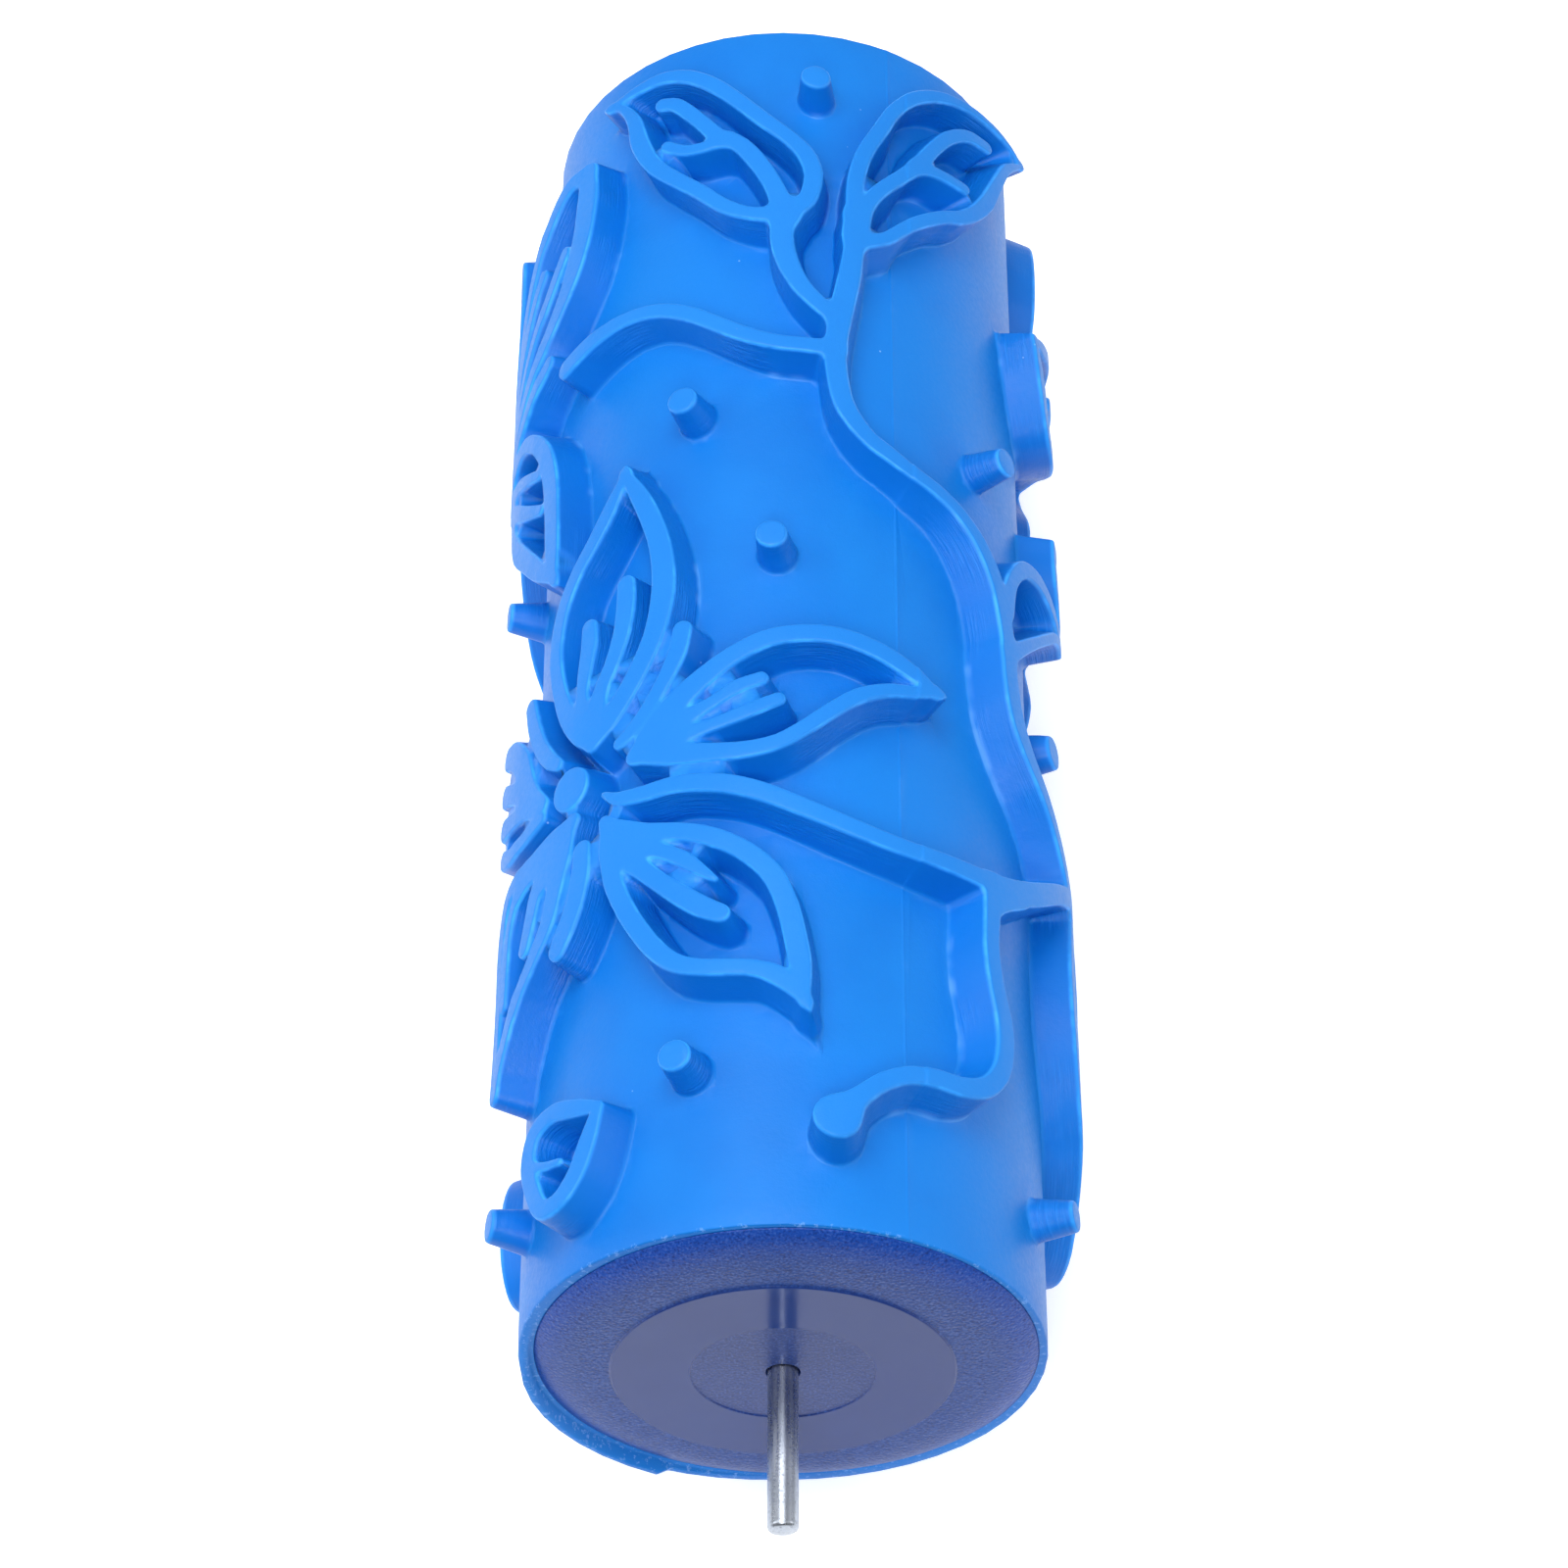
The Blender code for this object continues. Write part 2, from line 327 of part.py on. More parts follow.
def leaf(centre, heading, length, width, bend):
    """A vine leaf: two edge ridges and a forked midrib, bowed sideways by bend."""
    rows = [[(f, side * across, ridge) for f, across, ridge in LEAF_EDGE] for side in (1, -1)]
    rows += [LEAF_MIDRIB, LEAF_FORK]
    return [place(centre, heading, [(f * length,
                                     across * width / 2 + bend * math.sin(math.pi * f), ridge)
                                    for f, across, ridge in row])
            for row in rows]


def flower(centre, petals, stamen, stamen_headings):
    strokes = []
    for heading, length, width in petals:
        strokes += petal(centre, heading, length, width)
    return strokes + [place(centre, heading, stamen) for heading in stamen_headings]


def pattern_strokes():
    return (DRAWN_STROKES
            + leaf((119.8, 124), heading=30, length=33, width=15, bend=-2.0)
            + flower(THIRD_FLOWER, THIRD_PETALS, THIRD_STAMEN, THIRD_STAMEN_HEADINGS)
            + flower(SECOND_FLOWER, SECOND_PETALS, SECOND_STAMEN, SECOND_STAMEN_HEADINGS))


# ---- From strokes to outlines. On the flat sheet u is mm round and v is mm along. ----

def smooth(points):
    """A Catmull-Rom curve through the points, as (u, v, half width) rows."""
    p = np.array([(angle * MM_PER_DEGREE, v, width / 2) for angle, v, width in points])
    p = np.vstack([2 * p[0] - p[1], p, 2 * p[-1] - p[-2]])
    t = np.linspace(0, 1, CURVE_STEPS, endpoint=False)[:, None]
    rows = [0.5 * (2 * p[i] + (p[i + 1] - p[i - 1]) * t
                   + (2 * p[i - 1] - 5 * p[i] + 4 * p[i + 1] - p[i + 2]) * t ** 2
                   + (3 * p[i] - p[i - 1] - 3 * p[i + 1] + p[i + 2]) * t ** 3)
            for i in range(1, len(p) - 2)]
    rows.append(p[-2:-1])
    return np.vstack(rows)


def distance_field(us, vs):
    """Distance in mm from each grid point to the nearest ridge's side: negative inside one."""
    field = np.full((len(vs), len(us)), FIELD_FAR)
    runs = [smooth(stroke) for stroke in pattern_strokes()]
    runs += [np.array([(angle * MM_PER_DEGREE, v, radius),
                       (angle * MM_PER_DEGREE, v + STUD_LENGTH, radius)])
             for angle, v, radius in STUDS]
    for run in runs:
        for shift in (-TURN, 0.0, TURN):       # ridges that cross the seam show on both edges
            for a, b in zip(run[:-1], run[1:]):
                u_low = min(a[0], b[0]) + shift - FIELD_REACH
                u_high = max(a[0], b[0]) + shift + FIELD_REACH
                if u_high < us[0] or u_low > us[-1]:
                    continue
                v_range = (min(a[1], b[1]) - FIELD_REACH, max(a[1], b[1]) + FIELD_REACH)
                i0, i1 = np.searchsorted(us, (u_low, u_high))
                j0, j1 = np.searchsorted(vs, v_range)
                gx, gy = np.meshgrid(us[i0:i1] - shift, vs[j0:j1])
                d = b[:2] - a[:2]
                f = np.clip(((gx - a[0]) * d[0] + (gy - a[1]) * d[1]) / (d @ d), 0, 1)
                near = (np.hypot(gx - a[0] - f * d[0], gy - a[1] - f * d[1])
                        - (a[2] + f * (b[2] - a[2])))
                field[j0:j1, i0:i1] = np.minimum(field[j0:j1, i0:i1], near)
    return field


def cell_steps(inside):
    """How outlines cross each grid cell: (edge they enter by, cell) -> edge they leave by."""
    steps = {}
    kinds = (inside[:-1, :-1] + 2 * inside[:-1, 1:]
             + 4 * inside[1:, 1:] + 8 * inside[1:, :-1])
    for j, i in zip(*np.nonzero((kinds > 0) & (kinds < 15))):
        corners = [(j, i), (j, i + 1), (j + 1, i + 1), (j + 1, i)]
        starts, ends = [], []
        for k in range(4):
            a, b = corners[k], corners[(k + 1) % 4]
            if inside[a] and not inside[b]:
                starts.append((min(a, b), max(a, b)))
            elif inside[b] and not inside[a]:
                ends.append((min(a, b), max(a, b)))
        if len(starts) == 2 and kinds[j, i] == 5:
            ends.reverse()
        for start, end in zip(starts, ends):
            steps[start, (j, i)] = end
    return steps


def outlines(us, vs, field, level):
    """Closed (u, v) outlines of the area where field < level, cut at the grid's edges."""
    f = np.pad(field - level, 1, constant_values=FIELD_BORDER)
    f = np.where(np.abs(f) < NUDGE, np.where(f < 0, -NUDGE, NUDGE), f)
    us = np.concatenate([[us[0] - BORDER_WIDTH], us, [us[-1] + BORDER_WIDTH]])
    vs = np.concatenate([[vs[0] - BORDER_WIDTH], vs, [vs[-1] + BORDER_WIDTH]])

    def crossing(edge):
        (j0, i0), (j1, i1) = edge
        t = f[j0, i0] / (f[j0, i0] - f[j1, i1])
        return us[i0] + t * (us[i1] - us[i0]), vs[j0] + t * (vs[j1] - vs[j0])

    steps = cell_steps(f < 0)
    found = []
    left = set(steps)
    while left:
        key = min(left)
        loop = []
        while key in left:
            left.remove(key)
            start, cell = key
            loop.append(crossing(start))
            end = steps[key]
            (ja, ia), (_, ib) = end
            sharing = [(ja, ia - 1), (ja, ia)] if ia == ib else [(ja - 1, ia), (ja, ia)]
            key = next(((end, c) for c in sharing if c != cell and (end, c) in steps), None)
        if len(loop) > 3:
            found.append(np.array(loop))
    return found


def thinned(loop, keep, edges):
    """The outline with fewer points, none of the dropped ones further than keep from it.
    Corners on the facet's edges stay."""
    on_edge = np.abs(loop[:, :1] - edges).min(axis=1) < 1e-6
    first = int(np.argmax(loop[:, 1]))
    loop, on_edge = np.roll(loop, -first, axis=0), np.roll(on_edge, -first)
    far = int(np.argmax(np.hypot(*(loop - loop[0]).T)))
    corner = on_edge & ~(np.roll(on_edge, 1) & np.roll(on_edge, -1))
    fixed = sorted({0, far, *np.nonzero(corner)[0].tolist()}) + [len(loop)]
    closed = np.vstack([loop, loop[:1]])
    chosen = []

    def split(a, b):
        if b - a < 2:
            return
        p, q = closed[a], closed[b]
        d = q - p
        size = max(float(np.hypot(*d)), 1e-9)
        away = np.abs(d[0] * (closed[a + 1:b, 1] - p[1])
                      - d[1] * (closed[a + 1:b, 0] - p[0])) / size
        k = int(np.argmax(away))
        if away[k] > keep:
            split(a, a + 1 + k)
            chosen.append(a + 1 + k)
            split(a + 1 + k, b)

    for a, b in zip(fixed[:-1], fixed[1:]):
        chosen.append(a)
        split(a, b)
    if len(chosen) < 3:
        return thinned(loop, keep / 4, edges) if keep > FINEST_KEEP else loop
    return loop[sorted(chosen)]


def is_inside(loops, u, v):
    """Whether a point lies inside the outlines, by counting crossings of a line from it."""
    hits = 0
    for loop in loops:
        (u0, v0), (u1, v1) = loop.T, np.roll(loop, -1, axis=0).T
        span = (v0 > v) != (v1 > v)
        slope = (v[()] if False else v - v0[span]) / (v1[span] - v0[span])
        hits += int((u0[span] + slope * (u1[span] - u0[span]) > u).sum())
    return hits % 2 == 1


# ---- Sleeve ----

def mesh_flat_sheet(bm, raised):
    """Mesh the unrolled sheet facet by facet, marking the faces inside the pattern."""
    us = np.linspace(-TURN / 2, TURN / 2, SIDES * FACET_CELLS + 1)
    vs = np.arange(PATTERN_MARGIN, SLEEVE_LENGTH - PATTERN_MARGIN, TURN / SIDES / FACET_CELLS)
    field = distance_field(us, vs)
    field[:, -1] = field[:, 0]
    for k in range(SIDES):
        part = slice(k * FACET_CELLS, (k + 1) * FACET_CELLS + 1)
        edges = us[part][[0, -1]]
        left, right = edges
        loops = [thinned(loop, KEEP, edges)
                 for loop in outlines(us[part], vs, field[:, part], RELIEF_GROW)]
        points = [Vector(p) for p in ((left, 0), (right, 0),
                                      (right, SLEEVE_LENGTH), (left, SLEEVE_LENGTH))]
        rings = [[0, 1, 2, 3]]
        for loop in loops:
            rings.append(list(range(len(points), len(points) + len(loop))))
            points += [Vector(p) for p in loop]
        flat, _, faces, *_ = delaunay_2d_cdt(points, [], rings, 0, 1e-5)
        verts = [bm.verts.new((p.x, p.y, 0)) for p in flat]
        for face in faces:
            made = bm.faces.new([verts[i] for i in face])
            middle = made.calc_center_median()
            made[raised] = is_inside(loops, middle.x, middle.y)
    bmesh.ops.remove_doubles(bm, verts=bm.verts, dist=1e-4)
    bm.normal_update()
    bmesh.ops.reverse_faces(bm, faces=[face for face in bm.faces if face.normal.z < 0])


def raise_pattern(bm, raised):
    """Extrude the marked faces to z = 1 and open the walls left along the seam."""
    tops = [face for face in bm.faces if face[raised]]
    extruded = bmesh.ops.extrude_face_region(bm, geom=tops)["geom"]
    old_tops = [face for face in tops if face.is_valid]
    bmesh.ops.delete(bm, geom=old_tops, context="FACES_KEEP_BOUNDARY")
    for item in extruded:
        if isinstance(item, bmesh.types.BMVert):
            item.co.z = 1
    seam = [face for face in bm.faces
            if all(abs(abs(vert.co.x) - TURN / 2) < 1e-4 for vert in face.verts)]
    bmesh.ops.delete(bm, geom=seam, context="FACES_ONLY")


def wrap_sheet(bm):
    """Roll the sheet round the axle and join it along the seam."""
    for vert in bm.verts:
        radius = RELIEF_R if vert.co.z > 0.5 else SLEEVE_R
        angle = vert.co.x / MM_PER_DEGREE * math.pi / 180
        vert.co = Vector((radius * math.sin(angle), vert.co.y - SLEEVE_HALF,
                          radius * math.cos(angle))) * MM
    bmesh.ops.remove_doubles(bm, verts=bm.verts, dist=1e-6)
    loose = [edge for edge in bm.edges if not edge.link_faces]
    bmesh.ops.delete(bm, geom=loose, context="EDGES")


def open_edges(bm):
    return [edge for edge in bm.edges if len(edge.link_faces) == 1]


def add_ends_and_bore(bm):
    for item in bmesh.ops.extrude_edge_only(bm, edges=open_edges(bm))["geom"]:
        if isinstance(item, bmesh.types.BMVert):
            angle = math.atan2(item.co.x, item.co.z)
            item.co = Vector((SLEEVE_BORE_R * MM * math.sin(angle), item.co.y,
                              SLEEVE_BORE_R * MM * math.cos(angle)))
    bmesh.ops.bridge_loops(bm, edges=open_edges(bm))


def rubber_sleeve(mat, where):
    """A rubber tube with the pattern standing on it."""
    bm = bmesh.new()
    raised = bm.faces.layers.int.new("raised")
    mesh_flat_sheet(bm, raised)
    raise_pattern(bm, raised)
    wrap_sheet(bm)
    add_ends_and_bore(bm)
    bmesh.ops.triangulate(bm, faces=bm.faces)
    bmesh.ops.recalc_face_normals(bm, faces=bm.faces)
    mesh = bpy.data.meshes.new("rubber_sleeve")
    bm.to_mesh(mesh)
    bm.free()
    mesh.materials.append(mat)
    where.objects.link(bpy.data.objects.new("rubber_sleeve", mesh))


# ---- Turned parts ----

def material(name, colour, roughness, metallic=0.0):
    made = bpy.data.materials.new(name)
    made.use_nodes = True
    shader = made.node_tree.nodes["Principled BSDF"]
    shader.inputs["Base Color"].default_value = (*colour, 1)
    shader.inputs["Roughness"].default_value = roughness
    shader.inputs["Metallic"].default_value = metallic
    made.diffuse_color = (*colour, 1)
    return made


def lathe(name, profile, steps, mat, where, flip=False):
    """A piece turned about the axle from its profile. flip turns it to face the front."""
    mesh = bpy.data.meshes.new(name)
    count = len(profile)
    # a profile that starts and ends on the axis stays open there
    on_axis = profile[0][0] == profile[-1][0] == 0
    edges = [(i, (i + 1) % count) for i in range(count - 1 if on_axis else count)]
    mesh.from_pydata([(radius * MM, 0, z * MM) for radius, z in profile], edges, [])
    mesh.materials.append(mat)
    obj = bpy.data.objects.new(name, mesh)
    where.objects.link(obj)
    obj.rotation_euler = (math.pi / 2 if flip else -math.pi / 2, 0, 0)
    screw = obj.modifiers.new("turn", "SCREW")
    screw.axis = "Z"
    screw.steps = steps
    screw.render_steps = steps
    screw.use_merge_vertices = True
    screw.merge_threshold = 1e-6
    screw.use_smooth_shade = True
    return obj


def rib_star(name, where):
    """A star of flat ribs standing out from the axle."""
    bm = bmesh.new()
    for k in range(RIB_COUNT):
        rib = bmesh.ops.create_cube(bm, size=1.0)["verts"]
        for vert in rib:
            x = (RIB_INNER_R + RIB_OUTER_R) / 2 + vert.co.x * (RIB_OUTER_R - RIB_INNER_R)
            z = (RIB_FOOT + RIB_TOP) / 2 + vert.co.z * (RIB_TOP - RIB_FOOT)
            vert.co = Vector((x, vert.co.y * RIB_THICKNESS, z)) * MM
        turn = Matrix.Rotation(2 * math.pi * (k + RIB_OFFSET) / RIB_COUNT, 3, "Z")
        bmesh.ops.rotate(bm, verts=rib, cent=(0, 0, 0), matrix=turn)
    mesh = bpy.data.meshes.new(name)
    bm.to_mesh(mesh)
    bm.free()
    obj = bpy.data.objects.new(name, mesh)
    where.objects.link(obj)
    obj.display_type = "WIRE"
    obj.hide_render = True
    return obj


def end_cap(side, flip, mat, parts, helpers):
    """Domed flange with a raised ring, a plug skirt, a hub boss and six ribs."""
    cap = lathe(side + "_end_cap", CAP_PROFILE, 40, mat, parts, flip)
    ribs = rib_star(side + "_ribs", helpers)
    ribs.rotation_euler = cap.rotation_euler
    joined = cap.modifiers.new("ribs", "BOOLEAN")
    joined.operation = "UNION"
    joined.solver = "EXACT"
    joined.object = ribs


def collection(name):
    made = bpy.data.collections.new(name)
    bpy.context.scene.collection.children.link(made)
    return made


def main():
    for old in list(bpy.data.objects):
        bpy.data.objects.remove(old)
    parts = collection("textured_pattern_roller")
    helpers = collection("cutters")
    helpers.hide_render = True

    rubber = material("blue_rubber", colour=(0.004, 0.17, 0.80), roughness=0.42)
    grey = material("grey_core_plastic", colour=(0.32, 0.34, 0.36), roughness=0.55)
    navy = material("navy_cap_plastic", colour=(0.010, 0.035, 0.22), roughness=0.38)
    nylon = material("white_nylon", colour=(0.75, 0.74, 0.70), roughness=0.45)
    zinc = material("zinc_plated_steel", colour=(0.62, 0.64, 0.66), roughness=0.28, metallic=1.0)
    spring = material("spring_steel", colour=(0.22, 0.22, 0.24), roughness=0.35, metallic=1.0)
    acetal = material("black_acetal", colour=(0.03, 0.03, 0.035), roughness=0.4)

    rubber_sleeve(rubber, parts)
    lathe("core_tube", CORE_PROFILE, 48, grey, parts)
    for side, flip in (("front", True), ("rear", False)):
        end_cap(side, flip, navy, parts, helpers)
        lathe(side + "_hub_bush", BUSH_PROFILE, 28, nylon, parts, flip)
        lathe(side + "_thrust_washer", WASHER_PROFILE, 28, acetal, parts, flip)
        lathe(side + "_push_nut", NUT_PROFILE, 24, spring, parts, flip)
    lathe("axle", AXLE_PROFILE, 24, zinc, parts)


main()
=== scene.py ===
# A pattern roller: a rubber sleeve with raised flowers and vines, two end caps and a wire axle.
# It lies along Y with its front end at -Y. Degrees run from the top (+Z) towards the right (+X).
import math

import bmesh
import bpy
import numpy as np
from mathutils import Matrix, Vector
from mathutils.geometry import delaunay_2d_cdt


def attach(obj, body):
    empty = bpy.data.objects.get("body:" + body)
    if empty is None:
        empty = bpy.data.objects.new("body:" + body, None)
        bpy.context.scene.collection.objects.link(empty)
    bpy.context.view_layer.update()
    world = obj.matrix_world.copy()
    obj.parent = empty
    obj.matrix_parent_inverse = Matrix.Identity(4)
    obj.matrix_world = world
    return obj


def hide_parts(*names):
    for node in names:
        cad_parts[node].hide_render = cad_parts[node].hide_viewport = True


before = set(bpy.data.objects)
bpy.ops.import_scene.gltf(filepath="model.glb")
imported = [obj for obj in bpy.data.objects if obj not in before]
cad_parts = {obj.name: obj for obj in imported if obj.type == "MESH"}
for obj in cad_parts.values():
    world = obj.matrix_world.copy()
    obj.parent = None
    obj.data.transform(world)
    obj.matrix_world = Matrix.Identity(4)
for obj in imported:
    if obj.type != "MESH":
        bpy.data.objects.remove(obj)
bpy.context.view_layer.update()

# Sizes are in mm unless noted.
MILLI = 0.001              # metres in a mm
SLEEVE_R = 30.0            # rubber skin
SLEEVE_BORE_R = 27.8
RELIEF_R = 35.0            # tops of the raised pattern
RELIEF_H = RELIEF_R - SLEEVE_R
SLEEVE_HALF = 90.0
SLEEVE_LENGTH = 2 * SLEEVE_HALF
MM_PER_DEG = math.pi / 180 * RELIEF_R      # round the tops
TURN = 360 * MM_PER_DEG

PARTING = 27.0             # degrees: the mould's parting line, and again half a turn on
FLASH_HALF = 0.45          # half width of the flash line
STEP_HALF = 0.12           # half width of the step between the mould halves
PULL = 0.75                # how far a ridge's foot leans with the mould's pull

STRIPS = 48                # strips the pattern is meshed in
STRIP_CELLS = 15           # distance-field steps across a strip
FIELD_ROWS = 601           # distance-field points along the sleeve
# Cross-section of a ridge: distance out from its top edge, height.
WALL = [(-0.45, 5.0), (-0.30, 4.985), (-0.12, 4.93), (0.0, 4.80), (0.09, 4.52), (0.80, 0.62),
        (0.93, 0.28), (1.12, 0.08), (1.45, 0.0)]
LEVELS = (-0.30, -0.12, 0.0, 0.09, 0.80, 0.95, 1.2)    # distances at which outlines are meshed
KEEP = 0.03                # how far an outline may stray when it is thinned
LONGEST = 2.4              # longest straight piece of a thinned outline
NUDGE = 0.004              # keeps outlines off the field's grid points
FILLET = 1.1               # how softly two ridges' walls run together
FAR = 9.0                  # distance given to points away from every ridge
REACH = 4.0                # how far out a ridge is measured
CURVE_STEPS = 8            # curve pieces between two points of a stroke

# Pattern
SECOND_FLOWER = (-97, 123)     # degrees, mm from the front end
THIRD_FLOWER = (168, 58)

